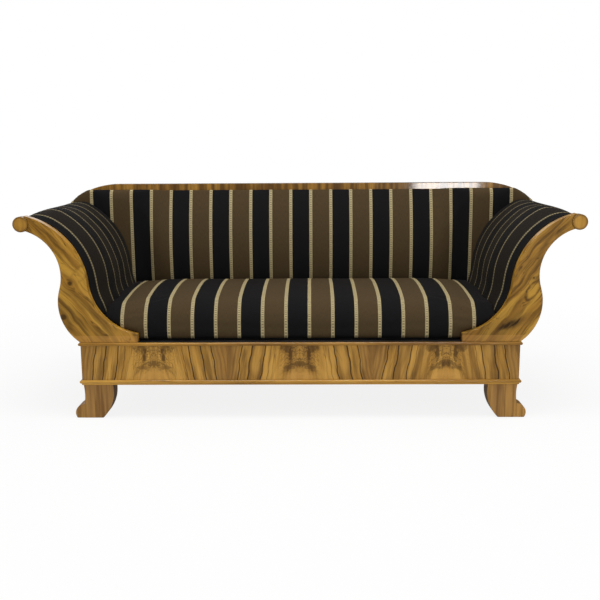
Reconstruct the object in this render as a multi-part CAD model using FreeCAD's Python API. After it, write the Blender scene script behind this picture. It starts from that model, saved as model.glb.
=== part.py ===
import FreeCAD
import Part
import math
import os

# A three-seat sofa with scrolled arms: a veneered apron on four legs, S-shaped arm facades with
# turned roundels, an upholstered back under a shaped crest, and a loose seat that lifts out.
# Sizes are in millimetres and angles in degrees. X runs to the right as one faces the sofa, Y to
# the back and Z up from the floor, with the origin under the middle of the whole outline.

# Apron, rails and what stiffens them
APRON_WIDTH = 1728.0
FRAME_DEPTH = 700.0
LEG_HEIGHT = 136.0
RAIL_HEIGHT = 172.0
FRONT_RAIL_THICKNESS = 34.0
SIDE_RAIL_THICKNESS = 30.0
REAR_RAIL_THICKNESS = 30.0
VENEER_THICKNESS = 4.0
BEAD_HEIGHT = 13.0
BEAD_PROJECTION = 8.0
MOULDING_HEIGHT = 20.0
MOULDING_FILLET = 6.0
MOULDING_PROJECTION = 8.5
TENON_LENGTH = 16.0
TENON_THICKNESS = 12.0
TENON_SHOULDER = 36.0
TENON_CLEARANCE = 0.2
CORNER_BLOCK_SIZE = 66.0
CORNER_BLOCK_HEIGHT = 80.0
CROSS_RAIL_SPACING = 580.0
CROSS_RAIL_WIDTH = 40.0
CROSS_RAIL_HEIGHT = 60.0
BEARER_WIDTH = 40.0
BEARER_HEIGHT = 36.0

# Legs
LEG_INSET = 4.0
LEG_WIDTH = 116.0
LEG_FOOT_WIDTH = 73.0
LEG_DEPTH = 70.0
LEG_HOLLOW = 4.0
LEG_BELLY = 19.0
TOE_SCROLL_REACH = 37.0
TOE_SCROLL_HEIGHT = 56.0
TOE_SCROLL_NOSE_HEIGHT = 20.0
TOE_SCROLL_UNDERCUT = 7.0
REAR_LEG_WIDTH = 60.0
REAR_LEG_DEPTH = 62.0
REAR_FOOT_DEPTH = 44.0
HEEL_RAKE = 50.0
SABRE_SAG = 9.0
DOWEL_RADIUS = 8.0
DOWEL_LENGTH = 56.0
DOWEL_SETBACK = 12.0
DOWEL_CLEARANCE = 0.1

# Arm facade: the inner edge runs from the toe's tip up to the roll, the outer edge from its foot
FACADE_THICKNESS = 34.0
TOE_LENGTH = 227.0
TOE_HEIGHT = 33.0
TOE_ANGLE = 13.0
TOE_RADIUS = 426.0
SWEEP_ANGLE = 20.0
SWEEP_RADIUS = 214.0
NECK_ANGLE = 85.0
FLARE_RADIUS = 305.0
FLARE_END_ANGLE = 14.0
FOOT_ANGLE = 35.6
BELLY_RADIUS = 191.6
WAIST_ANGLE = 107.3
THROAT_END_ANGLE = 16.0
NECK_HEIGHT = 58.0

# Arm roll and the rails hidden in the arm
ROLL_RADIUS = 22.0
ROLL_SETOUT = 13.0
ROLL_DROP = 4.0
ROUNDEL_RADIUS = 30.0
ROUNDEL_PROUD = 4.0
ROUNDEL_ROUNDING = 3.0
ROUNDEL_CLEARANCE = 0.2
ARM_TOP_RAIL_WIDTH = 100.0
ARM_BASE_RAIL_WIDTH = 50.0
ARM_BASE_RAIL_HEIGHT = 60.0
WEBBING_THICKNESS = 2.0
WEBBING_WIDTH = 60.0
ARM_STRAP_COUNT = 4
ARM_STRAP_TAIL = 22.0
ARM_STRAP_END_ANGLE = 18.0
OUTER_PANEL_THICKNESS = 2.0
OUTER_PANEL_INSET = 1.0

# Arm padding: it swells from the facade's edge towards the back
ARM_PAD_BED = 12.0
ARM_PAD_SWELL = 35.0
ARM_PAD_LEAD = 200.0
ARM_PAD_BOTTOM = 118.0
ARM_PAD_SHOULDER_ANGLE = 30.0
ARM_PAD_OVER_ROLL = 7.0
ARM_PAD_TOP_SETIN = 1.0

# Back frame
BACK_FRAME_THICKNESS = 44.0
CREST_HEIGHT = 84.5
CREST_LIFT = 18.0
CREST_END_SETIN = 11.0
CREST_SHOULDER_REACH = 218.0
CREST_SHOULDER_DROP = 82.0
STILE_SETIN = 20.0
STILE_FOOT_WIDTH = 80.0
BACK_RAIL_HEIGHT = 60.0
BACK_RAIL_LIFT = 52.0
MUNTIN_SPACING = 524.0
MUNTIN_WIDTH = 50.0
BACK_STRAP_COUNT = 7
BACK_CROSS_STRAP_COUNT = 3
BACK_STRAP_OVERLAP = 40.0
REAR_CLOTH_THICKNESS = 1.5
REAR_CLOTH_MARGIN = 5.0
REAR_CLOTH_OVERLAP = 20.0

# Back padding, measured forwards from its webbing
BACK_PAD_DEPTH = 70.0
BACK_PAD_TOP_DEPTH = 8.0
BACK_PAD_BOTTOM_DEPTH = 52.0
BACK_PAD_SIDE_DEPTH = 30.0
BACK_PAD_SIDE_EDGE_DEPTH = 24.0
BACK_PAD_ROUNDING = 110.0
CREST_SHOW = 30.0
CREST_REVEAL = 4.0

# Loose seat: a webbed frame that lies on the bearers and carries the stuffed pad
SEAT_FRAME_HEIGHT = 46.0
SEAT_FRAME_RAIL_WIDTH = 50.0
SEAT_FRAME_SETIN = 34.0
SEAT_CROSS_RAIL_SPACING = 480.0
SEAT_STRAP_COUNT = 9
SEAT_CROSS_STRAP_COUNT = 4
HESSIAN_THICKNESS = 1.5
SEAT_SLIDE_CLEARANCE = 3.0
SEAT_ARM_CLEARANCE = 2.0
SEAT_BACK_CLEARANCE = 9.0
SEAT_NOSE_SETBACK = 20.0
SEAT_NOSE_UNDERCUT = 16.0
SEAT_NOSE_HEIGHT = 84.0
SEAT_SHOULDER_SETBACK = 52.0
SEAT_SHOULDER_HEIGHT = 156.0
SEAT_CROWN_HEIGHT = 180.0
SEAT_REAR_HEIGHT = 162.0
SEAT_END_LENGTH = 110.0
SEAT_END_DROP = 32.0
SEAT_END_SETBACK = 10.0
SEAT_END_START = 0.05
SEAT_END_EASE = 0.3
SEAT_NOSE_DROP_SHARE = 0.25
SEAT_SHOULDER_DROP_SHARE = 0.7
SEAT_REAR_DROP_SHARE = 0.3

# Small gap that keeps padding and webbing off what they lie on
SOFT_GAP = 0.3

# Places of the sections through a rounded stretch of padding, as shares of its length
STATION_SHARES = (0.0, 0.25, 0.5, 0.75, 1.0)

# Places that follow from the sizes
FRONT_REACH = max(BEAD_PROJECTION, MOULDING_PROJECTION, ROUNDEL_PROUD)
FACE_Y = (FRONT_REACH - FRAME_DEPTH - HEEL_RAKE) / 2
REAR_Y = FACE_Y + FRAME_DEPTH
HALF_APRON = APRON_WIDTH / 2
RAIL_TOP = LEG_HEIGHT + RAIL_HEIGHT
CORE_Y = FACE_Y + VENEER_THICKNESS
CORE_REAR_Y = CORE_Y + FRONT_RAIL_THICKNESS
REAR_RAIL_Y = REAR_Y - REAR_RAIL_THICKNESS
SIDE_RAIL_X = HALF_APRON - SIDE_RAIL_THICKNESS
FACADE_REAR_Y = FACE_Y + FACADE_THICKNESS
BACK_Y = REAR_Y - BACK_FRAME_THICKNESS
BACK_BED_Y = BACK_Y - 2 * WEBBING_THICKNESS - SOFT_GAP
ARM_PAD_REAR_Y = BACK_BED_Y - BACK_PAD_SIDE_DEPTH - SOFT_GAP
SEAT_REAR_Y = BACK_BED_Y - BACK_PAD_DEPTH - SEAT_BACK_CLEARANCE
SEAT_FRAME_Y = CORE_REAR_Y + SEAT_SLIDE_CLEARANCE
BEARER_TOP = RAIL_TOP - SEAT_FRAME_HEIGHT
BEARER_BOTTOM = BEARER_TOP - BEARER_HEIGHT
SEAT_PAD_Z = RAIL_TOP + 2 * WEBBING_THICKNESS + HESSIAN_THICKNESS + SOFT_GAP


def vector(x, y, z):
    return FreeCAD.Vector(x, y, z)


def block(x_low, x_high, y_low, y_high, z_low, z_high):
    """Straight block between two corners."""
    return Part.makeBox(x_high - x_low, y_high - y_low, z_high - z_low, vector(x_low, y_low, z_low))


def arcs(points):
    """Arcs through points given as an end, a middle, an end, and so on."""
    return [Part.Arc(*points[i:i + 3]).toShape() for i in range(0, len(points) - 2, 2)]


def lines(*points):
    """Straight edges from point to point, without those of no length."""
    pairs = zip(points, points[1:])
    return [Part.makeLine(a, b) for a, b in pairs if not a.isEqual(b, 1e-6)]


def band(near, far):
    """Closed edges between two chains of arcs that run the same way."""
    return arcs(near) + lines(near[-1], far[-1]) + arcs(far[::-1]) + lines(far[0], near[0])


def left_hand(points):
    """Mirror images of right-hand points, last one first."""
    return [vector(-p.x, p.y, p.z) for p in points[::-1]]


def extruded(edges, direction):
    """Solid of a closed outline drawn along a direction."""
    return Part.Face(Part.Wire(edges)).extrude(direction)


def mirrored(shape):
    """Left-hand copy of a right-hand piece."""
    return shape.mirror(vector(0, 0, 0), vector(1, 0, 0))


def arc_chain(start, heading, turns, offset=0.0):
    """Ends and middles of tangent arcs, shifted to their left by offset.

    The chain leaves start at a heading, and each turn is the heading where it ends and its radius.
    """
    angle = math.radians(heading)
    x = start[0] - offset * math.sin(angle)
    z = start[1] + offset * math.cos(angle)
    points = [(x, z)]
    for end_heading, radius in turns:
        end = math.radians(end_heading)
        reach = math.copysign(radius, end - angle) - offset
        centre_x = x - reach * math.sin(angle)
        centre_z = z + reach * math.cos(angle)
        for bearing in ((angle + end) / 2, end):
            x = centre_x + reach * math.sin(bearing)
            z = centre_z - reach * math.cos(bearing)
            points.append((x, z))
        angle = end
    return points


def tangent_middle(start, heading, end):
    """Middle of the arc that leaves start at a heading and reaches end."""
    chord_x = end[0] - start[0]
    chord_z = end[1] - start[1]
    half_turn = math.radians(heading) - math.atan2(chord_z, chord_x)
    rise = math.tan(half_turn / 2) / 2
    return ((start[0] + end[0]) / 2 - rise * chord_z, (start[1] + end[1]) / 2 + rise * chord_x)


# The arm's profile, measured outwards from the apron's end and up from its top
INNER_TURNS = [(SWEEP_ANGLE, TOE_RADIUS), (NECK_ANGLE, SWEEP_RADIUS), (FLARE_END_ANGLE, FLARE_RADIUS)]


def inner_edge(offset):
    """Facade's inner edge from toe to roll, shifted towards the sitter by offset."""
    return arc_chain((-TOE_LENGTH, TOE_HEIGHT), TOE_ANGLE, INNER_TURNS, offset)


# The outer edge's throat is as large as leaves the neck its height under the inner edge's end
BELLY_TURN = (WAIST_ANGLE, BELLY_RADIUS)
INNER_END = inner_edge(0.0)[-1]
WAIST_Z = arc_chain((0.0, 0.0), FOOT_ANGLE, [BELLY_TURN])[-1][1]
THROAT_RISE = math.cos(math.radians(THROAT_END_ANGLE)) - math.cos(math.radians(WAIST_ANGLE))
THROAT_RADIUS = (INNER_END[1] - NECK_HEIGHT - WAIST_Z) / THROAT_RISE
OUTER_TURNS = [BELLY_TURN, (THROAT_END_ANGLE, THROAT_RADIUS)]


def outer_edge(offset):
    """Facade's outer edge from foot to roll, shifted into the arm by offset."""
    return arc_chain((0.0, 0.0), FOOT_ANGLE, OUTER_TURNS, offset)


def placed(points, y):
    """Points of the arm's profile, set on the right-hand arm at a depth."""
    return [vector(HALF_APRON + x, y, RAIL_TOP + z) for x, z in points]


OUTER_END = outer_edge(0.0)[-1]
SWEEP_START = inner_edge(0.0)[2]
SWEEP_CENTRE = (SWEEP_START[0] - SWEEP_RADIUS * math.sin(math.radians(SWEEP_ANGLE)),
                SWEEP_START[1] + SWEEP_RADIUS * math.cos(math.radians(SWEEP_ANGLE)))
ROLL_CENTRE = ((INNER_END[0] + OUTER_END[0]) / 2 + ROLL_SETOUT, (INNER_END[1] + OUTER_END[1]) / 2 - ROLL_DROP)
ROLL_X = HALF_APRON + ROLL_CENTRE[0]
ROLL_Z = RAIL_TOP + ROLL_CENTRE[1]
CREST_BOTTOM = ROLL_Z + ROLL_RADIUS + CREST_LIFT
CREST_TOP = CREST_BOTTOM + CREST_HEIGHT
CREST_END_X = ROLL_X - CREST_END_SETIN
CREST_FLAT_X = CREST_END_X - CREST_SHOULDER_REACH
CREST_RADIUS = (CREST_SHOULDER_REACH ** 2 + CREST_SHOULDER_DROP ** 2) / (2 * CREST_SHOULDER_DROP)


def arm_profile(y_low, y_high, inner_offset, outer_offset):
    """Solid of the arm's whole profile between two depths."""
    inner = placed(inner_edge(inner_offset), y_low)
    outer = placed(outer_edge(outer_offset), y_low)
    toe = vector(inner[0].x, y_low, RAIL_TOP)
    foot = vector(outer[0].x, y_low, RAIL_TOP)
    edges = arcs(inner) + lines(inner[-1], outer[-1]) + arcs(outer[::-1])
    edges += lines(outer[0], foot, toe, inner[0])
    return extruded(edges, vector(0, y_high - y_low, 0))


def roll(radius, y_low, y_high):
    """Round of the arm's roll between two depths."""
    return Part.makeCylinder(radius, y_high - y_low, vector(ROLL_X, y_low, ROLL_Z), vector(0, 1, 0))


def sweep_heading(offset, height):
    """Heading at which the shifted inner edge passes a height above the apron."""
    rise = SWEEP_CENTRE[1] - height
    return math.degrees(math.acos(rise / (SWEEP_RADIUS - offset)))


def sweep_point(heading):
    """Point of the inner edge's sweep at a heading."""
    angle = math.radians(heading)
    return SWEEP_CENTRE[0] + SWEEP_RADIUS * math.sin(angle), SWEEP_CENTRE[1] - SWEEP_RADIUS * math.cos(angle)


def upper_edge(offset, bottom, end_angle):
    """Shifted inner edge from a height above the apron up to a heading on the flare."""
    heading = sweep_heading(offset, bottom)
    turns = [(NECK_ANGLE, SWEEP_RADIUS), (end_angle, FLARE_RADIUS)]
    return arc_chain(sweep_point(heading), heading, turns, offset)


def sweep_x(offset, height):
    """Distance from the sofa's middle of the shifted inner edge at a height above the apron."""
    heading = sweep_heading(offset, height)
    return HALF_APRON + arc_chain(sweep_point(heading), heading, [], offset)[0][0]


def arm_swell(y):
    """Padding's height over the facade's edge at a depth: an arc that levels out."""
    radius = (ARM_PAD_LEAD ** 2 + ARM_PAD_SWELL ** 2) / (2 * ARM_PAD_SWELL)
    left = max(FACADE_REAR_Y + ARM_PAD_LEAD - y, 0.0)
    return ARM_PAD_SWELL - radius + math.sqrt(radius ** 2 - left ** 2)


def seat_half_width(y):
    """Reach of the seat beside the arm padding at a depth."""
    return sweep_x(arm_swell(y), ARM_PAD_BOTTOM) - SEAT_ARM_CLEARANCE


# Apron and rails

def tenon(x, y_low, y_high, z_low, z_high, gap):
    """Flat tongue across a joint, grown by gap for the mortise that takes it."""
    half = TENON_THICKNESS / 2 + gap
    return block(x - half, x + half, y_low - gap, y_high + gap, z_low - gap, z_high + gap)


def rail_tenons(gap):
    """Tenons of the right side rail and of the right cross rail, front and rear."""
    side_x = HALF_APRON - SIDE_RAIL_THICKNESS / 2
    side_z = (LEG_HEIGHT + TENON_SHOULDER, RAIL_TOP - TENON_SHOULDER)
    cross_x = CROSS_RAIL_SPACING / 2
    cross_z = (BEARER_BOTTOM - CROSS_RAIL_HEIGHT + TENON_THICKNESS, BEARER_BOTTOM - TENON_THICKNESS)
    front = (CORE_REAR_Y - TENON_LENGTH, CORE_REAR_Y)
    rear = (REAR_RAIL_Y, REAR_RAIL_Y + TENON_LENGTH)
    side = [tenon(side_x, *span, *side_z, gap) for span in (front, rear)]
    cross = [tenon(cross_x, *span, *cross_z, gap) for span in (front, rear)]
    return side, cross


def with_mortises(rail, end):
    """Long rail with mortises for both side rails and both cross rails at one end of them."""
    side, cross = rail_tenons(TENON_CLEARANCE)
    cutters = [side[end], cross[end]]
    return rail.cut(cutters + [mirrored(cutter) for cutter in cutters])


def front_rail():
    rail = block(-HALF_APRON, HALF_APRON, CORE_Y, CORE_REAR_Y, LEG_HEIGHT, RAIL_TOP)
    return with_mortises(rail, 0)


def rear_rail():
    rail = block(-HALF_APRON, HALF_APRON, REAR_RAIL_Y, REAR_Y, LEG_HEIGHT, RAIL_TOP)
    return with_mortises(rail, 1)


def front_veneer():
    return block(-HALF_APRON, HALF_APRON, FACE_Y, CORE_Y, LEG_HEIGHT, RAIL_TOP)


def side_rail():
    rail = block(SIDE_RAIL_X, HALF_APRON, CORE_REAR_Y, REAR_RAIL_Y, LEG_HEIGHT, RAIL_TOP)
    return rail.fuse(rail_tenons(0.0)[0]).removeSplitter()


def cross_rail():
    half = CROSS_RAIL_WIDTH / 2
    middle = CROSS_RAIL_SPACING / 2
    low = BEARER_BOTTOM - CROSS_RAIL_HEIGHT
    rail = block(middle - half, middle + half, CORE_REAR_Y, REAR_RAIL_Y, low, BEARER_BOTTOM)
    return rail.fuse(rail_tenons(0.0)[1]).removeSplitter()


def corner_block(y_low):
    """Glued block in a corner of the rails, bored from below for the leg's dowel."""
    low_x = SIDE_RAIL_X - CORNER_BLOCK_SIZE
    high_z = LEG_HEIGHT + CORNER_BLOCK_HEIGHT
    return block(low_x, SIDE_RAIL_X, y_low, y_low + CORNER_BLOCK_SIZE, LEG_HEIGHT, high_z)


def bead_profile(projection, low, high, fillet):
    """Half-round with a square fillet under it, in the plane across the apron's middle."""
    nose = (low + fillet + high) / 2
    round_radius = (high - low - fillet) / 2
    flat_y = FACE_Y - projection + round_radius
    corner = vector(0, flat_y, high)
    arc = arcs([corner, vector(0, FACE_Y - projection, nose), vector(0, flat_y, low + fillet)])
    if fillet > 0:
        under = [vector(0, flat_y, low + fillet), vector(0, flat_y, low)]
    else:
        under = [vector(0, flat_y, low)]
    return arc + lines(*under, vector(0, FACE_Y, low), vector(0, FACE_Y, high), corner)


def mitred_strips(projection, low, high, fillet):
    """Front and right-hand lengths of a moulding that returns along the side, mitred together."""
    long_reach = HALF_APRON + projection
    profile = bead_profile(projection, low, high, fillet)
    front = extruded(profile, vector(2 * long_reach, 0, 0))
    front.translate(vector(-long_reach, 0, 0))
    side = extruded(profile, vector(FRAME_DEPTH + projection, 0, 0))
    side.rotate(vector(0, FACE_Y, 0), vector(0, 0, 1), 90)
    side.translate(vector(HALF_APRON, -projection, 0))
    tip = vector(long_reach, FACE_Y - projection, low)
    heel = vector(HALF_APRON, FACE_Y, low)
    front_plan = lines(heel, tip, vector(-tip.x, tip.y, low), vector(-heel.x, heel.y, low), heel)
    side_plan = lines(heel, tip, vector(tip.x, REAR_Y, low), vector(heel.x, REAR_Y, low), heel)
    rise = vector(0, 0, high - low)
    return front.common(extruded(front_plan, rise)), side.common(extruded(side_plan, rise))


def front_bearer():
    """Strip behind the front rail that carries the seat's front edge."""
    half = SIDE_RAIL_X - CORNER_BLOCK_SIZE - SEAT_SLIDE_CLEARANCE
    return block(-half, half, CORE_REAR_Y, CORE_REAR_Y + BEARER_WIDTH, BEARER_BOTTOM, BEARER_TOP)


def rear_bearer():
    """Bar between the side rails, on the cross rails, that carries the seat's rear edge."""
    middle = SEAT_REAR_Y
    half = BEARER_WIDTH / 2
    return block(-SIDE_RAIL_X, SIDE_RAIL_X, middle - half, middle + half, BEARER_BOTTOM, BEARER_TOP)


# Legs

def dowel_places():
    """Middles of the right-hand dowels, front and rear."""
    x = SIDE_RAIL_X - CORNER_BLOCK_SIZE / 4
    return [(x, CORE_REAR_Y + DOWEL_SETBACK), (x, REAR_RAIL_Y - DOWEL_SETBACK)]


def dowel(place, gap):
    low = LEG_HEIGHT - DOWEL_LENGTH / 2 - gap
    base = vector(place[0], place[1], low)
    return Part.makeCylinder(DOWEL_RADIUS + gap, DOWEL_LENGTH + 2 * gap, base)


def front_leg():
    outer = HALF_APRON - LEG_INSET
    inner = outer - LEG_WIDTH
    foot = outer - LEG_FOOT_WIDTH

    def at(x, z):
        return vector(x, FACE_Y, z)

    waist = (LEG_HEIGHT + TOE_SCROLL_HEIGHT) / 2
    outside = arcs([at(outer, LEG_HEIGHT), at(outer - LEG_HOLLOW, waist), at(outer, TOE_SCROLL_HEIGHT)])
    base = lines(at(outer, TOE_SCROLL_HEIGHT), at(outer, 0), at(foot, 0))
    belly = at((foot + inner) / 2 - LEG_BELLY, LEG_HEIGHT / 2)
    inside = arcs([at(foot, 0), belly, at(inner, LEG_HEIGHT)])
    leg = extruded(outside + base + inside + lines(at(inner, LEG_HEIGHT), at(outer, LEG_HEIGHT)),
                   vector(0, LEG_DEPTH, 0))
    return leg.cut(dowel(dowel_places()[0], DOWEL_CLEARANCE))


def toe_scroll():
    """Rounded toe glued to the outside of the front leg's foot."""
    outer = HALF_APRON - LEG_INSET
    tip = outer + TOE_SCROLL_REACH

    def at(x, z):
        return vector(x, FACE_Y, z)

    nose = at(tip, TOE_SCROLL_NOSE_HEIGHT)
    crown_x = outer + TOE_SCROLL_REACH * math.sqrt(0.5)
    crown_z = TOE_SCROLL_NOSE_HEIGHT + (TOE_SCROLL_HEIGHT - TOE_SCROLL_NOSE_HEIGHT) * math.sqrt(0.5)
    under = at(tip - TOE_SCROLL_UNDERCUT / 4, TOE_SCROLL_NOSE_HEIGHT / 2)
    sole = at(tip - TOE_SCROLL_UNDERCUT, 0)
    round_edges = arcs([at(outer, TOE_SCROLL_HEIGHT), at(crown_x, crown_z), nose, under, sole])
    return extruded(round_edges + lines(sole, at(outer, 0), at(outer, TOE_SCROLL_HEIGHT)),
                    vector(0, LEG_DEPTH, 0))


def rear_leg():
    """Sabre leg that rakes backwards under the rear corner."""
    outer = HALF_APRON - LEG_INSET
    heel = REAR_Y + HEEL_RAKE

    def at(y, z):
        return vector(outer - REAR_LEG_WIDTH, y, z)

    def sabre(top, foot):
        return [at(top, LEG_HEIGHT), at((top + foot) / 2 - SABRE_SAG, LEG_HEIGHT / 2), at(foot, 0)]

    rear = sabre(REAR_Y, heel)
    front = sabre(REAR_Y - REAR_LEG_DEPTH, heel - REAR_FOOT_DEPTH)
    leg = extruded(band(rear, front), vector(REAR_LEG_WIDTH, 0, 0))
    return leg.cut(dowel(dowel_places()[1], DOWEL_CLEARANCE))


# Arms

def arm_facade():
    facade = arm_profile(FACE_Y, FACADE_REAR_Y, 0.0, 0.0)
    return facade.cut(roll(ROUNDEL_RADIUS + ROUNDEL_CLEARANCE, FACE_Y, FACADE_REAR_Y))


def arm_roundel():
    """Turned disc that ends the roll in front."""
    disc = roll(ROUNDEL_RADIUS, FACE_Y - ROUNDEL_PROUD, FACADE_REAR_Y)
    rim = [edge for edge in disc.Edges if edge.BoundBox.YMax < FACE_Y]
    return disc.makeFillet(ROUNDEL_ROUNDING, rim)


ARM_CORE_INSET = ARM_PAD_BED + WEBBING_THICKNESS + 2 * SOFT_GAP
ARM_SKIN_INSET = OUTER_PANEL_INSET + OUTER_PANEL_THICKNESS + SOFT_GAP


def arm_core():
    """Profile that the arm's rails are sawn from, under the webbing and inside the outer panel."""
    return arm_profile(FACADE_REAR_Y, BACK_Y, -ARM_CORE_INSET, ARM_SKIN_INSET)


def arm_top_rail():
    """Shaped rail with the roll on its outer edge."""
    web = block(ROLL_X - ARM_TOP_RAIL_WIDTH, ROLL_X, FACADE_REAR_Y, BACK_Y, RAIL_TOP, CREST_TOP)
    rail = arm_core().common(web).fuse(roll(ROLL_RADIUS, FACADE_REAR_Y, BACK_Y))
    return rail.removeSplitter()


def arm_base_rail():
    """Tacking rail under the padding's lower end, beside the seat."""
    low_x = seat_half_width(FACADE_REAR_Y) + SEAT_SLIDE_CLEARANCE
    top = RAIL_TOP + ARM_PAD_BOTTOM
    span = block(low_x, low_x + ARM_BASE_RAIL_WIDTH, FACADE_REAR_Y, BACK_Y, top - ARM_BASE_RAIL_HEIGHT, top)
    return arm_core().common(span)


def arm_webbing():
    """Straps that follow the arm's curve from the base rail up to the roll."""
    bottom = ARM_PAD_BOTTOM - ARM_STRAP_TAIL
    near = upper_edge(-ARM_PAD_BED - SOFT_GAP, bottom, ARM_STRAP_END_ANGLE)
    far = upper_edge(-ARM_PAD_BED - SOFT_GAP - WEBBING_THICKNESS, bottom, ARM_STRAP_END_ANGLE)
    room = ARM_PAD_REAR_Y - FACADE_REAR_Y
    gap = (room - ARM_STRAP_COUNT * WEBBING_WIDTH) / (ARM_STRAP_COUNT + 1)
    straps = []
    for i in range(ARM_STRAP_COUNT):
        y = FACADE_REAR_Y + gap + i * (WEBBING_WIDTH + gap)
        straps.append(extruded(band(placed(near, y), placed(far, y)), vector(0, WEBBING_WIDTH, 0)))
    return Part.makeCompound(straps)


def arm_pad_section(y, swell):
    """Outline of the arm's padding at a depth, closed over the roll."""
    top = (ROLL_CENTRE[0] - ARM_PAD_TOP_SETIN, ROLL_CENTRE[1] + ROLL_RADIUS + ARM_PAD_OVER_ROLL)
    cover = upper_edge(swell, ARM_PAD_BOTTOM, ARM_PAD_SHOULDER_ANGLE)
    cover += [tangent_middle(cover[-1], ARM_PAD_SHOULDER_ANGLE, top), top]
    bed = upper_edge(-ARM_PAD_BED, ARM_PAD_BOTTOM, FLARE_END_ANGLE)
    return Part.Wire(band(placed(cover, y), placed(bed, y)))


def arm_depths():
    """Depths of the sections through the arm's padding, from the facade to the back."""
    lead = [FACADE_REAR_Y + ARM_PAD_LEAD * share for share in STATION_SHARES]
    return lead + [(lead[-1] + ARM_PAD_REAR_Y) / 2, ARM_PAD_REAR_Y]


def arm_pad():
    """Stuffed inside of the arm: flush with the facade in front, swelling towards the back."""
    sections = [arm_pad_section(y, arm_swell(y)) for y in arm_depths()]
    return Part.makeLoft(sections, True)


def arm_outer_panel():
    """Cloth over the outside of the arm, between facade and back stile."""
    outer = placed(outer_edge(OUTER_PANEL_INSET), FACADE_REAR_Y)
    inner = placed(outer_edge(OUTER_PANEL_INSET + OUTER_PANEL_THICKNESS), FACADE_REAR_Y)
    return extruded(band(outer, inner), vector(0, BACK_Y - FACADE_REAR_Y, 0))


# Back

def crest_shoulder(inset):
    """Radius, X of the flat's end and height of the arc's centre of the crest's shoulder."""
    return CREST_RADIUS - inset, CREST_FLAT_X, CREST_TOP - CREST_RADIUS


def shoulder_point(inset, x):
    """Height of the shoulder, drawn in by inset, at a distance from the middle."""
    radius, flat_x, centre_z = crest_shoulder(inset)
    return centre_z + math.sqrt(radius ** 2 - (x - flat_x) ** 2)


def shoulder_reach(inset, z):
    """Distance from the middle of the shoulder, drawn in by inset, at a height."""
    radius, flat_x, centre_z = crest_shoulder(inset)
    return flat_x + math.sqrt(radius ** 2 - (z - centre_z) ** 2)


def back_crest():
    """Top board with a level middle and sloping shoulders."""
    half_x = (CREST_FLAT_X + CREST_END_X) / 2
    end_z = shoulder_point(0.0, CREST_END_X)
    corner = vector(CREST_END_X, BACK_Y, CREST_BOTTOM)
    shoulder = [vector(CREST_END_X, BACK_Y, end_z),
                vector(half_x, BACK_Y, shoulder_point(0.0, half_x)),
                vector(CREST_FLAT_X, BACK_Y, CREST_TOP)]
    left = left_hand(shoulder)
    left_corner = vector(-CREST_END_X, BACK_Y, CREST_BOTTOM)
    edges = lines(left[-1], left_corner, corner, shoulder[0]) + arcs(shoulder)
    edges += lines(shoulder[-1], left[0]) + arcs(left)
    return extruded(edges, vector(0, BACK_FRAME_THICKNESS, 0))


def back_stile():
    """S-shaped post at the back end of the arm, from the apron to the crest."""
    post = arm_profile(BACK_Y, REAR_Y, STILE_SETIN, 0.0).fuse(roll(ROLL_RADIUS, BACK_Y, REAR_Y))
    room = block(HALF_APRON - STILE_FOOT_WIDTH, ROLL_X + ROLL_RADIUS, BACK_Y, REAR_Y, RAIL_TOP, CREST_BOTTOM)
    return post.common(room).removeSplitter()


def back_rail():
    half = HALF_APRON - STILE_FOOT_WIDTH
    low = RAIL_TOP + BACK_RAIL_LIFT
    return block(-half, half, BACK_Y, REAR_Y, low, low + BACK_RAIL_HEIGHT)


def muntin():
    """Upright between the back's bottom rail and the crest."""
    half = MUNTIN_WIDTH / 2
    middle = MUNTIN_SPACING / 2
    low = RAIL_TOP + BACK_RAIL_LIFT + BACK_RAIL_HEIGHT
    return block(middle - half, middle + half, BACK_Y, REAR_Y, low, CREST_BOTTOM)


def back_webbing():
    """Upright straps on the back frame with level straps across them."""
    low = RAIL_TOP + BACK_RAIL_LIFT + BACK_RAIL_HEIGHT - BACK_STRAP_OVERLAP
    high = CREST_BOTTOM + BACK_STRAP_OVERLAP
    half_room = HALF_APRON - STILE_FOOT_WIDTH
    half = WEBBING_WIDTH / 2
    front_y = BACK_Y - WEBBING_THICKNESS
    straps = []
    for i in range(BACK_STRAP_COUNT):
        x = -half_room + (i + 0.5) * 2 * half_room / BACK_STRAP_COUNT
        straps.append(block(x - half, x + half, front_y, BACK_Y, low, high))
    for i in range(BACK_CROSS_STRAP_COUNT):
        z = low + (i + 1) * (high - low) / (BACK_CROSS_STRAP_COUNT + 1)
        strap = block(-half_room, half_room, front_y - WEBBING_THICKNESS, front_y, z - half, z + half)
        straps.append(strap)
    return Part.makeCompound(straps)


def back_pad_section(x, top_depth, middle_depth, bottom_depth):
    """Upright section of the back's padding, bowed forwards to its depth at half height."""
    low = RAIL_TOP + ARM_PAD_BOTTOM
    high = CREST_TOP - CREST_SHOW
    bottom = vector(x, BACK_BED_Y - bottom_depth, low)
    middle = vector(x, BACK_BED_Y - middle_depth, (low + high) / 2)
    top = vector(x, BACK_BED_Y - top_depth, high)
    back = lines(top, vector(x, BACK_BED_Y, high), vector(x, BACK_BED_Y, low), bottom)
    return Part.Wire(arcs([bottom, middle, top]) + back)


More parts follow.
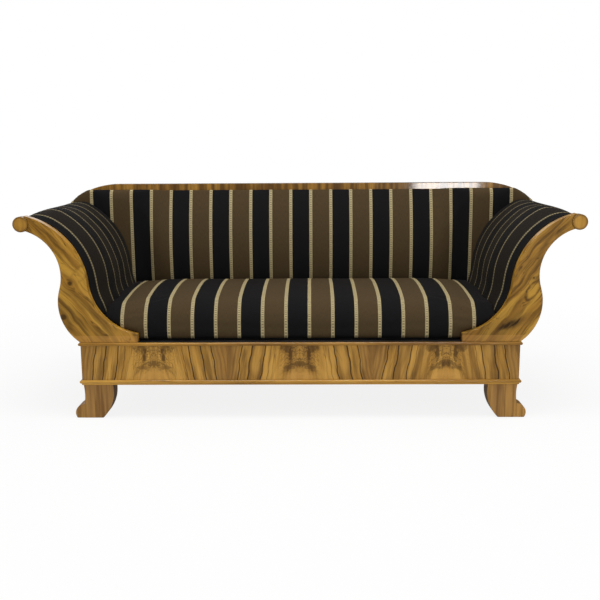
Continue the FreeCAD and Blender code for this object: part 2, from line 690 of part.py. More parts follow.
def back_pad_outline():
    """Front view of the back's padding: under the crest and between the arms' inner edges."""
    high = CREST_TOP - CREST_SHOW
    side = placed(upper_edge(0.0, ARM_PAD_BOTTOM, FLARE_END_ANGLE), BACK_Y)
    tip_x = side[-1].x
    corner_x = shoulder_reach(CREST_REVEAL, high)
    half_x = (tip_x + corner_x) / 2
    shoulder = [vector(tip_x, BACK_Y, shoulder_point(CREST_REVEAL, tip_x)),
                vector(half_x, BACK_Y, shoulder_point(CREST_REVEAL, half_x)),
                vector(corner_x, BACK_Y, high)]
    parts = [side, shoulder, left_hand(shoulder), left_hand(side)]
    edges = []
    for part, following in zip(parts, parts[1:] + parts[:1]):
        edges += arcs(part) + lines(part[-1], following[0])
    return extruded(edges, vector(0, -FRAME_DEPTH / 2, 0))


def back_pad():
    """Stuffed back: full between the arms and thinner where the arms' padding meets it."""
    middle = (BACK_PAD_TOP_DEPTH, BACK_PAD_DEPTH, BACK_PAD_BOTTOM_DEPTH)
    side = (BACK_PAD_SIDE_EDGE_DEPTH, BACK_PAD_SIDE_DEPTH, BACK_PAD_SIDE_EDGE_DEPTH)
    side_x = seat_half_width(SEAT_REAR_Y) - SEAT_ARM_CLEARANCE
    stations = []
    for share in STATION_SHARES:
        ease = (1 - math.cos(math.pi * share)) / 2
        depths = [full + ease * (thin - full) for full, thin in zip(middle, side)]
        stations.append((side_x - (1 - share) * BACK_PAD_ROUNDING, depths))
    stations.append((ROLL_X, side))
    sections = [back_pad_section(-x, *depths) for x, depths in stations[::-1]]
    sections += [back_pad_section(0.0, *middle)]
    sections += [back_pad_section(x, *depths) for x, depths in stations]
    return Part.makeLoft(sections, True, True).common(back_pad_outline())


def back_rear_cloth():
    """Plain cloth nailed over the back of the frame."""
    top = CREST_BOTTOM + REAR_CLOTH_OVERLAP
    side = placed(outer_edge(REAR_CLOTH_MARGIN), REAR_Y)
    foot = vector(side[0].x, REAR_Y, RAIL_TOP + REAR_CLOTH_MARGIN)
    corner = vector(CREST_END_X - REAR_CLOTH_MARGIN, REAR_Y, CREST_BOTTOM)
    top_corner = vector(shoulder_reach(REAR_CLOTH_MARGIN, top) - REAR_CLOTH_MARGIN, REAR_Y, top)
    head = [side[-1], corner, top_corner]
    left_side = left_hand(side)
    edges = arcs(side) + lines(*head, *left_hand(head)) + arcs(left_side)
    edges += lines(left_side[-1], *left_hand([foot]), foot, side[0])
    return extruded(edges, vector(0, REAR_CLOTH_THICKNESS, 0))


# Loose seat

SEAT_FRAME_X = seat_half_width(SEAT_REAR_Y) - SEAT_FRAME_SETIN


def seat_long_rail(y_low):
    """Front or rear rail of the seat's frame."""
    y_high = y_low + SEAT_FRAME_RAIL_WIDTH
    return block(-SEAT_FRAME_X, SEAT_FRAME_X, y_low, y_high, BEARER_TOP, RAIL_TOP)


def seat_short_rail(middle):
    """Side or cross rail of the seat's frame, between its long rails."""
    half = SEAT_FRAME_RAIL_WIDTH / 2
    front = SEAT_FRAME_Y + SEAT_FRAME_RAIL_WIDTH
    rear = SEAT_REAR_Y - SEAT_FRAME_RAIL_WIDTH
    return block(middle - half, middle + half, front, rear, BEARER_TOP, RAIL_TOP)


def seat_webbing():
    """Straps from front to rear with straps from side to side across them."""
    half = WEBBING_WIDTH / 2
    first = RAIL_TOP + WEBBING_THICKNESS
    second = first + WEBBING_THICKNESS
    straps = []
    for i in range(SEAT_STRAP_COUNT):
        x = -SEAT_FRAME_X + (i + 0.5) * 2 * SEAT_FRAME_X / SEAT_STRAP_COUNT
        straps.append(block(x - half, x + half, SEAT_FRAME_Y, SEAT_REAR_Y, RAIL_TOP, first))
    for i in range(SEAT_CROSS_STRAP_COUNT):
        y = SEAT_FRAME_Y + (i + 0.5) * (SEAT_REAR_Y - SEAT_FRAME_Y) / SEAT_CROSS_STRAP_COUNT
        straps.append(block(-SEAT_FRAME_X, SEAT_FRAME_X, y - half, y + half, first, second))
    return Part.makeCompound(straps)


def seat_hessian():
    low = RAIL_TOP + 2 * WEBBING_THICKNESS
    high = low + HESSIAN_THICKNESS
    return block(-SEAT_FRAME_X, SEAT_FRAME_X, SEAT_FRAME_Y, SEAT_REAR_Y, low, high)


def seat_pad_section(x, setback, drop):
    """Section of the seat's padding from front to rear: a rolled nose, a crown and a straight back."""
    nose_y = FACE_Y + SEAT_NOSE_SETBACK + setback
    under = vector(x, FACE_Y + SEAT_NOSE_SETBACK + SEAT_NOSE_UNDERCUT, SEAT_PAD_Z)
    nose = vector(x, nose_y, RAIL_TOP + SEAT_NOSE_HEIGHT - SEAT_NOSE_DROP_SHARE * drop)
    shoulder_z = RAIL_TOP + SEAT_SHOULDER_HEIGHT - SEAT_SHOULDER_DROP_SHARE * drop
    shoulder = vector(x, nose_y + SEAT_SHOULDER_SETBACK, shoulder_z)
    crown = vector(x, (shoulder.y + SEAT_REAR_Y) / 2, RAIL_TOP + SEAT_CROWN_HEIGHT - drop)
    rear = vector(x, SEAT_REAR_Y, RAIL_TOP + SEAT_REAR_HEIGHT - SEAT_REAR_DROP_SHARE * drop)
    back = lines(rear, vector(x, SEAT_REAR_Y, SEAT_PAD_Z), under)
    return Part.Wire(arcs([under, nose, shoulder, crown, rear]) + back)


def seat_room_section(y):
    """Section across the room for the seat: upright at the sides, then flared along the arms' padding."""
    swell = arm_swell(y) + SEAT_ARM_CLEARANCE
    low = sweep_heading(swell, ARM_PAD_BOTTOM)
    side = placed(arc_chain(sweep_point(low), low, [(NECK_ANGLE, SWEEP_RADIUS)], swell), y)
    foot = vector(side[0].x, y, SEAT_PAD_Z)
    left = left_hand(side)
    edges = arcs(side) + lines(side[-1], left[0]) + arcs(left)
    return Part.Wire(edges + lines(left[-1], *left_hand([foot]), foot, side[0]))


def seat_room():
    """Room between the arms that the seat fills, open in front of them."""
    sections = [seat_room_section(y) for y in arm_depths()]
    front = Part.Face(sections[0]).extrude(vector(0, FACE_Y - FACADE_REAR_Y, 0))
    return front.fuse(Part.makeLoft(sections, True))


def seat_pad():
    """Stuffed seat: level along its middle, rounded down at both ends, notched behind the facades' toes."""
    end_x = seat_half_width(FACADE_REAR_Y) + SEAT_ARM_CLEARANCE
    start_x = end_x - 2 * SEAT_END_LENGTH
    stations = [(start_x, SEAT_END_START), (end_x - SEAT_END_LENGTH, SEAT_END_EASE), (end_x, 1.0)]
    sections = []
    for x, share in [(-x, share) for x, share in stations[::-1]] + [(0.0, 0.0)] + stations:
        sections.append(seat_pad_section(x, SEAT_END_SETBACK * share, SEAT_END_DROP * share))
    toe = arm_profile(FACE_Y, FACADE_REAR_Y + SEAT_ARM_CLEARANCE, SEAT_ARM_CLEARANCE, 0.0)
    pad = Part.makeLoft(sections, True).common(seat_room())
    return pad.cut([toe, mirrored(toe)]).removeSplitter()


# Every piece under its own name

def paired(name, shape):
    """Right-hand piece and its left-hand copy."""
    return {name + "_right": shape, name + "_left": mirrored(shape)}


def whole_sofa():
    front_bead, side_bead = mitred_strips(BEAD_PROJECTION, RAIL_TOP - BEAD_HEIGHT, RAIL_TOP, 0.0)
    base = mitred_strips(MOULDING_PROJECTION, LEG_HEIGHT, LEG_HEIGHT + MOULDING_HEIGHT, MOULDING_FILLET)
    front_dowel, rear_dowel = dowel_places()
    holes = [dowel(place, DOWEL_CLEARANCE) for place in (front_dowel, rear_dowel)]
    dowels = [dowel(place, 0.0) for place in (front_dowel, rear_dowel)]
    pieces = {
        "front_rail": front_rail(),
        "front_veneer": front_veneer(),
        "rear_rail": rear_rail(),
        "rail_bead_front": front_bead,
        "base_moulding_front": base[0],
        "seat_bearer_front": front_bearer(),
        "seat_bearer_rear": rear_bearer(),
        "leg_dowels": Part.makeCompound(dowels + [mirrored(pin) for pin in dowels]),
        "back_crest": back_crest(),
        "back_rail": back_rail(),
        "back_webbing": back_webbing(),
        "back_pad": back_pad(),
        "back_rear_cloth": back_rear_cloth(),
        "seat_frame_front": seat_long_rail(SEAT_FRAME_Y),
        "seat_frame_rear": seat_long_rail(SEAT_REAR_Y - SEAT_FRAME_RAIL_WIDTH),
        "seat_webbing": seat_webbing(),
        "seat_hessian": seat_hessian(),
        "seat_pad": seat_pad(),
    }
    pieces.update(paired("side_rail", side_rail()))
    pieces.update(paired("rail_bead", side_bead))
    pieces.update(paired("base_moulding", base[1]))
    pieces.update(paired("cross_rail", cross_rail()))
    pieces.update(paired("corner_block_front", corner_block(CORE_REAR_Y).cut(holes[0])))
    pieces.update(paired("corner_block_rear", corner_block(REAR_RAIL_Y - CORNER_BLOCK_SIZE).cut(holes[1])))
    pieces.update(paired("front_leg", front_leg()))
    pieces.update(paired("toe_scroll", toe_scroll()))
    pieces.update(paired("rear_leg", rear_leg()))
    pieces.update(paired("arm_facade", arm_facade()))
    pieces.update(paired("arm_roundel", arm_roundel()))
    pieces.update(paired("arm_top_rail", arm_top_rail()))
    pieces.update(paired("arm_base_rail", arm_base_rail()))
    pieces.update(paired("arm_webbing", arm_webbing()))
    pieces.update(paired("arm_pad", arm_pad()))
    pieces.update(paired("arm_outer_panel", arm_outer_panel()))
    pieces.update(paired("back_stile", back_stile()))
    pieces.update(paired("back_muntin", muntin()))
    pieces.update(paired("seat_frame_side", seat_short_rail(SEAT_FRAME_X - SEAT_FRAME_RAIL_WIDTH / 2)))
    pieces.update(paired("seat_frame_cross", seat_short_rail(SEAT_CROSS_RAIL_SPACING / 2)))
    return pieces


os.makedirs("parts", exist_ok=True)
for piece_name, piece in whole_sofa().items():
    piece.exportStep("parts/" + piece_name + ".step")
    litres = round(piece.Volume / 1e6, 3)
    print(piece_name, "solids", len(piece.Solids), "valid", piece.isValid(), "litres", litres)
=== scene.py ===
from math import cos, pi, radians, sin

import bmesh
import bpy
from mathutils import Matrix, Vector
from mathutils.bvhtree import BVHTree


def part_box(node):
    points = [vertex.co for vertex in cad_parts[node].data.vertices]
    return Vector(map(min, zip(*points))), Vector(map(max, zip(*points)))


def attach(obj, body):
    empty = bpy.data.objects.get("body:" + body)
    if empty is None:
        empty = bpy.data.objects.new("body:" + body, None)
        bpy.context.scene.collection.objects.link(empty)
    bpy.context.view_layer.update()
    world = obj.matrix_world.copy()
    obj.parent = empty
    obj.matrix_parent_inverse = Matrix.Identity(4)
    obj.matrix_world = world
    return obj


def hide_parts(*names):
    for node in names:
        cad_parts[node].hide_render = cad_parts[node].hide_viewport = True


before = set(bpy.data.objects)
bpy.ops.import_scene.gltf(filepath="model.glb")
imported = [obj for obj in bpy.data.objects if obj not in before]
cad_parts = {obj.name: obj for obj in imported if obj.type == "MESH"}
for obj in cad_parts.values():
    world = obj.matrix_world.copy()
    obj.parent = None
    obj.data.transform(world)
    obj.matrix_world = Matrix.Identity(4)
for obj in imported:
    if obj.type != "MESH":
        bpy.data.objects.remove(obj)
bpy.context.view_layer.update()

# ---------------------------------------------------------------------------------------------
# Carcase: front, rear and cross rails with glued corner blocks and seat bearers.
# Sawn softwood, planed but left bare, because veneer and cloth cover all that shows.
# The rails are tenoned into each other, the blocks and bearers are glued on.


def linear(red, green, blue):
    """Shader colour of a chip given in screen values from 0 to 255."""
    chip = [value / 255 for value in (red, green, blue)]
    return tuple(v / 12.92 if v <= 0.04045 else ((v + 0.055) / 1.055) ** 2.4 for v in chip) + (1.0,)


def add(tree, kind, inputs=None, **settings):
    """New node with its settings made and its inputs linked or filled in."""
    node = tree.nodes.new("ShaderNode" + kind)
    for name, value in settings.items():
        setattr(node, name, value)
    for place, value in (inputs or {}).items():
        if isinstance(value, bpy.types.NodeSocket):
            tree.links.new(value, node.inputs[place])
        else:
            node.inputs[place].default_value = value
    return node


def calc(tree, operation, *values):
    return add(tree, "Math", dict(enumerate(values)), operation=operation).outputs[0]


def times(tree, first, second):
    return calc(tree, "MULTIPLY", first, second)


def plus(tree, first, second):
    return calc(tree, "ADD", first, second)


def ease(tree, value, low, high, start=0.0, end=1.0):
    """Value eased from start at low to end at high."""
    limits = {0: value, 1: low, 2: high, 3: start, 4: end}
    return add(tree, "MapRange", limits, interpolation_type="SMOOTHSTEP").outputs[0]


def blend(tree, share, first, second):
    return add(tree, "Mix", {0: share, 6: first, 7: second}, data_type="RGBA").outputs[2]


def noise(tree, place, stretch, detail=2.0):
    """Noise with its own scale along each axis, per metre."""
    scaled = add(tree, "VectorMath", {0: place, 1: stretch}, operation="MULTIPLY").outputs[0]
    return add(tree, "TexNoise", {"Vector": scaled, "Scale": 1.0, "Detail": detail}).outputs[0]


def shared_effect(name, inputs, outputs):
    """Empty node group with its sockets, and the nodes that hold them."""
    tree = bpy.data.node_groups.new(name, "ShaderNodeTree")
    for label, kind in inputs:
        tree.interface.new_socket(label, in_out="INPUT", socket_type="NodeSocket" + kind)
    for label, kind in outputs:
        tree.interface.new_socket(label, in_out="OUTPUT", socket_type="NodeSocket" + kind)
    return tree, tree.nodes.new("NodeGroupInput").outputs, tree.nodes.new("NodeGroupOutput").inputs


def new_finish(name):
    """New material with its node tree and its shader."""
    finish = bpy.data.materials.new(name)
    finish.use_nodes = True
    return finish, finish.node_tree, finish.node_tree.nodes["Principled BSDF"]


def lengths(tree):
    """X, Y and Z on the piece."""
    place = add(tree, "TexCoord").outputs["Object"]
    return add(tree, "SeparateXYZ", {0: place}).outputs


def bumped(tree, shader, height, depth, strength=1.0):
    """Relief of a given depth on the shader's normal."""
    relief = add(tree, "Bump", {"Height": height, "Distance": depth, "Strength": strength})
    tree.links.new(relief.outputs[0], shader.inputs["Normal"])


def unpolished(tree, shader, tone, roughness, gleam, relief, depth):
    """Dull wood or cloth, with its colour and its relief."""
    tree.links.new(tone, shader.inputs["Base Color"])
    shader.inputs["Roughness"].default_value = roughness
    shader.inputs["Specular IOR Level"].default_value = gleam
    bumped(tree, shader, relief, depth)


GRAIN, grain_in, grain_out = shared_effect(
    "wood_grain", [("Vector", "Vector")], [("Streak", "Float"), ("Vein", "Float"), ("Pore", "Float")])
grain_place = grain_in["Vector"]
broad_streak = noise(GRAIN, grain_place, (15, 15, 1.5), 3.0)
fine_streak = noise(GRAIN, grain_place, (90, 90, 4.0))
streak_sum = plus(GRAIN, times(GRAIN, broad_streak, 0.7), times(GRAIN, fine_streak, 0.3))
GRAIN.links.new(ease(GRAIN, streak_sum, 0.28, 0.72), grain_out["Streak"])
ring_field = times(GRAIN, noise(GRAIN, grain_place, (20, 20, 1.2)), 7.0)
ring_line = ease(GRAIN, calc(GRAIN, "PINGPONG", ring_field, 0.5), 0.07, 0.0)
ring_share = ease(GRAIN, noise(GRAIN, grain_place, (14, 14, 2.0)), 0.42, 0.62)
GRAIN.links.new(times(GRAIN, ring_line, ring_share), grain_out["Vein"])
GRAIN.links.new(ease(GRAIN, noise(GRAIN, grain_place, (850, 850, 26)), 0.56, 0.7), grain_out["Pore"])


def grain_along(tree, axis):
    """Place on the piece, turned so that the grain runs along an axis."""
    order = {"X": (2, 1, 0), "Y": (0, 2, 1), "Z": (0, 1, 2)}[axis]
    axes = lengths(tree)
    return add(tree, "CombineXYZ", {i: axes[a] for i, a in enumerate(order)}).outputs[0]


def bare_wood(name, axis, dark, pale):
    """Planed wood without polish."""
    finish, tree, shader = new_finish(name)
    figure = add(tree, "Group", {"Vector": grain_along(tree, axis)}, node_tree=GRAIN).outputs
    tone = blend(tree, figure["Streak"], dark, pale)
    tone = blend(tree, times(tree, figure["Vein"], 0.6), tone, dark)
    unpolished(tree, shader, tone, 0.7, 0.25, figure["Pore"], -0.0002)
    return finish


def dress(finish, *names):
    """Give CAD nodes their finish."""
    for name in names:
        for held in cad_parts[name].material_slots:
            held.link = "OBJECT"
            held.material = finish


def pair(*names):
    return [name + side for name in names for side in ("_left", "_right")]


PINE_DARK, PINE_PALE = linear(150, 108, 62), linear(204, 168, 114)
dress(bare_wood("pine_long", "X", PINE_DARK, PINE_PALE),
      "front_rail", "rear_rail", "seat_bearer_front", "seat_bearer_rear")
dress(bare_wood("pine_cross", "Y", PINE_DARK, PINE_PALE), *pair("cross_rail"))
dress(bare_wood("pine_upright", "Z", PINE_DARK, PINE_PALE), *pair("corner_block_front", "corner_block_rear"))

# ---------------------------------------------------------------------------------------------
# Side rails with the beads and base mouldings that run round the apron.
# Softwood faced with polished walnut, and solid walnut strips mitred at the corners.
# The strips are planed to a half round and glued on under polish.


def polished_walnut(tree, shader, place, shade=None, shade_tone=linear(70, 43, 18), gloss=0.45):
    """Walnut under a clear polish; shade darkens the figure where it is given."""
    figure = add(tree, "Group", {"Vector": place}, node_tree=GRAIN).outputs
    tones = add(tree, "ValToRGB", {0: figure["Streak"]})
    stops = tones.color_ramp.elements
    stops[0].color = linear(108, 72, 24)
    stops[1].color = linear(198, 150, 66)
    stops.new(0.34).color = linear(148, 106, 40)
    stops.new(0.66).color = linear(174, 127, 49)
    tone = blend(tree, times(tree, figure["Vein"], 0.45), tones.outputs[0], linear(76, 47, 20))
    if shade is not None:
        tone = blend(tree, shade, tone, shade_tone)
    tone = blend(tree, times(tree, figure["Pore"], 0.22), tone, linear(70, 42, 18))
    tree.links.new(tone, shader.inputs["Base Color"])
    tree.links.new(ease(tree, figure["Pore"], 0.0, 1.0, 0.3, 0.42), shader.inputs["Roughness"])
    shader.inputs["Specular IOR Level"].default_value = 0.25
    shader.inputs["Coat Weight"].default_value = gloss
    shader.inputs["Coat Roughness"].default_value = 0.07
    bumped(tree, shader, figure["Pore"], -0.00012, 0.6)
    return tone


def plain_walnut(name, axis, gloss=0.45):
    """Polished walnut with its grain along one axis."""
    finish, tree, shader = new_finish(name)
    polished_walnut(tree, shader, grain_along(tree, axis), gloss=gloss)
    return finish


def shown(name, mesh, finish, slot, body, *replaced):
    """Object made from a bmesh, with its finish, and tied to its body."""
    data = bpy.data.meshes.new(name)
    mesh.to_mesh(data)
    mesh.free()
    for face in data.polygons:
        face.use_smooth = True
    data.materials.append(finish)
    piece = bpy.data.objects.new(name, data)
    bpy.context.scene.collection.objects.link(piece)
    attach(piece, body)
    if replaced:
        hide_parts(*replaced)
    return piece


def merged_copy(node):
    """Mesh of a CAD node with its triangles joined."""
    mesh = bmesh.new()
    mesh.from_mesh(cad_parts[node].data)
    bmesh.ops.remove_doubles(mesh, verts=mesh.verts, dist=2e-5)
    return mesh


SHARP = radians(28)


def eased_edges(node, width, finish, slot="walnut_veneer", body="frame"):
    """Worked copy of a node: flat faces joined and its arrises rounded off by sanding."""
    mesh = merged_copy(node)
    bmesh.ops.dissolve_limit(mesh, angle_limit=radians(0.4), verts=mesh.verts, edges=mesh.edges)
    arrises = [e for e in mesh.edges if len(e.link_faces) == 2 and e.calc_face_angle() > SHARP]
    bmesh.ops.bevel(mesh, geom=arrises, offset=width, affect="EDGES", segments=3, profile=0.5,
                    material=-1, clamp_overlap=True)
    piece = shown(node + "_worked", mesh, finish, slot, body, node)
    piece.modifiers.new("even_light", "WEIGHTED_NORMAL").keep_sharp = True
    return piece


STRIP_X, STRIP_Y = plain_walnut("walnut_strip_long", "X"), plain_walnut("walnut_strip_side", "Y")
for strip in ("rail_bead", "base_moulding"):
    eased_edges(strip + "_front", 0.0008, STRIP_X)
    for node in pair(strip):
        eased_edges(node, 0.0008, STRIP_Y)
dress(plain_walnut("walnut_side_veneer", "Z"), *pair("side_rail"))

# ---------------------------------------------------------------------------------------------
# Apron veneer: six book-matched leaves of crotch walnut that open from three figures.
# Sawn veneer, glued to the front rail with its grain upright and polished.
# Each figure has a dark feather over a golden dome, and dark veins lean away from it.

LEAF = 0.288
APRON_LOW, APRON_HEIGHT = 0.156, 0.139
APRON_VEINS = ((0.104, 0.0016, 0.5), (0.122, 0.003, 0.7), (0.146, 0.005, 1.0), (0.153, 0.012, 0.4),
               (0.196, 0.006, 1.0), (0.189, 0.014, 0.4), (0.214, 0.0016, 0.45), (0.238, 0.005, 1.0),
               (0.247, 0.010, 0.45), (0.262, 0.006, 0.4), (0.277, 0.002, 0.5))


def minus(tree, first, second):
    return calc(tree, "SUBTRACT", first, second)


def darkest(tree, shades):
    """Strongest of several shades at each spot."""
    shade = shades[0]
    for other in shades[1:]:
        shade = calc(tree, "MAXIMUM", shade, other)
    return shade


apron, tree, shader = new_finish("walnut_apron")
x, y, z = lengths(tree)
across = calc(tree, "PINGPONG", x, LEAF)
sheet_number = calc(tree, "ROUND", calc(tree, "DIVIDE", x, 2 * LEAF))
drift = plus(tree, times(tree, sheet_number, 0.07), times(tree, x, 0.012))
level = calc(tree, "DIVIDE", minus(tree, z, APRON_LOW), APRON_HEIGHT)
lean = times(tree, minus(tree, z, APRON_LOW + APRON_HEIGHT / 2), 0.17)
leaf_place = add(tree, "CombineXYZ", {0: plus(tree, across, lean), 1: drift, 2: z}).outputs[0]
wander = minus(tree, noise(tree, leaf_place, (9, 40, 14)), 0.5)
bent = plus(tree, plus(tree, across, lean), times(tree, wander, 0.02))
shades = []
for vein, width, weight in APRON_VEINS:
    gap = calc(tree, "ABSOLUTE", minus(tree, bent, vein))
    shades.append(ease(tree, gap, width, 0.0, 0.0, weight))
nearness = ease(tree, across, 0.11, 0.03)
arch = plus(tree, level, times(tree, calc(tree, "POWER", across, 2.0), 58.0))
ripple = minus(tree, noise(tree, leaf_place, (60, 30, 45), 3.0), 0.5)
arch_bent = plus(tree, arch, times(tree, ripple, 0.42))
feather_lines = calc(tree, "PINGPONG", times(tree, arch_bent, 8.0), 0.5)
feather = times(tree, ease(tree, feather_lines, 0.2, 0.02), ease(tree, arch, 0.36, 0.5))
shades.append(times(tree, times(tree, feather, nearness), 0.75))
arch_line = ease(tree, calc(tree, "ABSOLUTE", minus(tree, arch_bent, 0.5)), 0.12, 0.0)
shades.append(times(tree, times(tree, arch_line, nearness), 0.75))
torn = minus(tree, noise(tree, leaf_place, (130, 60, 80), 5.0), 0.5)
ragged = plus(tree, times(tree, ripple, 2.0), times(tree, torn, 3.4))


def apron_mark(middle_u, half_u, middle_level, half_level, weight):
    """Ragged dark mark on a leaf, with its middle and half sizes across and up the leaf."""
    field = ragged
    for place, middle, half in ((across, middle_u, half_u), (level, middle_level, half_level)):
        off = calc(tree, "DIVIDE", minus(tree, place, middle), half)
        field = plus(tree, calc(tree, "POWER", off, 2.0), field)
    shades.append(ease(tree, field, 1.5, 0.2, 0.0, weight))


apron_mark(0.0, 0.026, 0.46, 0.11, 0.75)
apron_mark(0.040, 0.030, 0.36, 0.06, 0.65)
apron_mark(0.052, 0.026, 0.96, 0.18, 0.7)
apron_mark(0.036, 0.009, 0.74, 0.32, 0.8)
apron_mark(0.016, 0.005, 0.84, 0.20, 0.6)
curl = noise(tree, leaf_place, (95, 60, 80), 4.0)
curl = ease(tree, calc(tree, "PINGPONG", times(tree, curl, 9.0), 0.5), 0.2, 0.02)
shades.append(times(tree, times(tree, curl, ease(tree, across, 0.075, 0.03)), 0.55))
shades.append(ease(tree, noise(tree, leaf_place, (30, 30, 5), 3.0), 0.48, 0.7, 0.0, 0.5))
shades.append(ease(tree, noise(tree, leaf_place, (260, 60, 9), 2.0), 0.56, 0.7, 0.0, 0.4))
shade = darkest(tree, shades)
tone = polished_walnut(tree, shader, leaf_place, shade, linear(58, 35, 12))
dome = times(tree, ease(tree, arch_bent, 0.42, 0.2), ease(tree, across, 0.1, 0.04))
tone = blend(tree, times(tree, dome, 0.55), tone, linear(206, 154, 74))
clear = minus(tree, 1.0, shade)
golden = ease(tree, noise(tree, leaf_place, (26, 30, 4), 2.0), 0.46, 0.6, 0.08, 0.5)
tone = blend(tree, times(tree, clear, golden), tone, linear(214, 164, 78))
middle_band = times(tree, ease(tree, bent, 0.236, 0.262), 0.4)
tone = blend(tree, middle_band, tone, linear(132, 94, 50))
tree.links.new(tone, shader.inputs["Base Color"])
dress(apron, "front_veneer")

# ---------------------------------------------------------------------------------------------
# Legs: bracket legs in front, each with a scrolled toe, and sabre legs behind.
# Solid walnut with upright grain, sawn to shape, rounded off and polished.
# Beech dowels hold them in the corner blocks, and the toes are glued to the legs' feet.

LEG_WALNUT = plain_walnut("walnut_leg", "Z", 0.08)
for node in pair("rear_leg"):
    eased_edges(node, 0.0018, LEG_WALNUT)
front_leg, tree, shader = new_finish("walnut_front_leg")
x, y, z = lengths(tree)
streaks = ease(tree, noise(tree, grain_along(tree, "Z"), (60, 20, 3.0), 3.0), 0.46, 0.66, 0.0, 0.6)
tone = polished_walnut(tree, shader, grain_along(tree, "Z"), streaks, linear(92, 60, 30), 0.08)
clear = minus(tree, 1.0, streaks)
tone = blend(tree, times(tree, clear, 0.4), tone, linear(190, 146, 88))
LEG_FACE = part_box("front_leg_left")[0][1]
TOE_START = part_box("toe_scroll_right")[0][0]
# Painted shade: behind the front face and inward of the toe, the legs' inner sides are darkened for the shade
# that falls there.
behind = ease(tree, y, LEG_FACE + 0.003, LEG_FACE + 0.007, 0.0, 0.7)
inner_side_shade = times(tree, behind, ease(tree, calc(tree, "ABSOLUTE", x), TOE_START + 0.004, TOE_START))
tree.links.new(blend(tree, inner_side_shade, tone, linear(62, 40, 18)), shader.inputs["Base Color"])
for node in pair("front_leg", "toe_scroll"):
    eased_edges(node, 0.0018, front_leg)
BEECH_DARK, BEECH_PALE = linear(164, 118, 78), linear(206, 166, 122)
dress(bare_wood("beech_upright", "Z", BEECH_DARK, BEECH_PALE), "leg_dowels", *pair("back_muntin"))

# ---------------------------------------------------------------------------------------------
# Arm facades: S-shaped boards from the toe on the apron up to the roll, with a turned roundel.
# Walnut veneer with leaning figure on a solid core; the roundels are turned from solid walnut.
# The facades stand on the apron and are screwed to the arm's rails from inside.

KNOT, knot_in, knot_out = shared_effect(
    "walnut_knot", [("Vector", "Vector"), ("Centre", "Vector"), ("Size", "Float")],
    [("Vector", "Vector"), ("Dark", "Float")])
from_knot = add(KNOT, "VectorMath", {0: knot_in["Vector"], 1: knot_in["Centre"]},
                operation="SUBTRACT").outputs[0]
from_knot = add(KNOT, "VectorMath", {0: from_knot, 1: (1, 0, 1)}, operation="MULTIPLY").outputs[0]
knot_reach = add(KNOT, "VectorMath", {0: from_knot}, operation="LENGTH").outputs["Value"]
knot_share = calc(KNOT, "DIVIDE", knot_reach, knot_in["Size"])
knot_pull = calc(KNOT, "DIVIDE", 0.85, plus(KNOT, 1.0, calc(KNOT, "POWER", knot_share, 2.0)))
knot_push = add(KNOT, "VectorMath", {0: from_knot, "Scale": knot_pull}, operation="SCALE").outputs[0]
knot_bent = add(KNOT, "VectorMath", {0: knot_in["Vector"], 1: knot_push}, operation="SUBTRACT").outputs[0]
KNOT.links.new(knot_bent, knot_out["Vector"])
KNOT.links.new(ease(KNOT, knot_share, 0.75, 0.2), knot_out["Dark"])


def smear_field(tree, x, z, centre, turn, length, width):
    """Squared distance from a point in the board's face, in half lengths and half widths."""
    off_x = minus(tree, x, centre[0])
    off_z = minus(tree, z, centre[1])
    sine, cosine = sin(radians(turn)), cos(radians(turn))
    run = plus(tree, times(tree, off_x, cosine / length), times(tree, off_z, sine / length))
    side = minus(tree, times(tree, off_z, cosine / width), times(tree, off_x, sine / width))
    return plus(tree, calc(tree, "POWER", run, 2.0), calc(tree, "POWER", side, 2.0))


FACADE_LEAN = radians(40)
FOOT_BAND_TOP = 0.335
FACADE_FIGURES = {
    "left": {"side": -1,
             "knots": (((-0.892, 0, 0.545), 0.022), ((-0.924, 0, 0.414), 0.034)),
             "smears": (((-0.815, 0.425), -38, 0.13, 0.014, 0.8), ((-0.915, 0.665), -53, 0.10, 0.007, 0.7),
                        ((-0.960, 0.730), -44, 0.07, 0.006, 0.7), ((-0.880, 0.590), -50, 0.06, 0.006, 0.5),
                        ((-0.885, 0.490), -40, 0.08, 0.020, 0.75), ((-0.910, 0.390), -58, 0.045, 0.012, 0.9),
                        ((-0.835, 0.480), -40, 0.05, 0.006, 0.6), ((-0.760, 0.340), -20, 0.03, 0.010, 0.8),
                        ((-0.800, 0.370), -30, 0.05, 0.008, 0.7), ((-0.925, 0.350), -45, 0.03, 0.006, 0.6)),
             "loops": (((-0.858, 0.574), 52, 0.040, 0.021, 0.45),)},
    "right": {"side": 1,
              "knots": (((0.905, 0, 0.560), 0.011), ((0.760, 0, 0.318), 0.006)),
              "smears": (((0.822, 0.376), 27, 0.075, 0.021, 1.25), ((0.945, 0.690), 55, 0.10, 0.012, 0.7),
                         ((0.880, 0.610), 50, 0.07, 0.007, 0.6), ((1.000, 0.745), 40, 0.05, 0.011, 0.8),
                         ((0.935, 0.420), 48, 0.06, 0.007, 0.7), ((0.850, 0.470), 55, 0.07, 0.008, 0.6),
                         ((0.905, 0.560), 12, 0.03, 0.007, 0.8), ((0.860, 0.330), 25, 0.05, 0.006, 0.6)),
              "loops": (((0.904, 0.512), 62, 0.044, 0.019, 0.8),)},
}


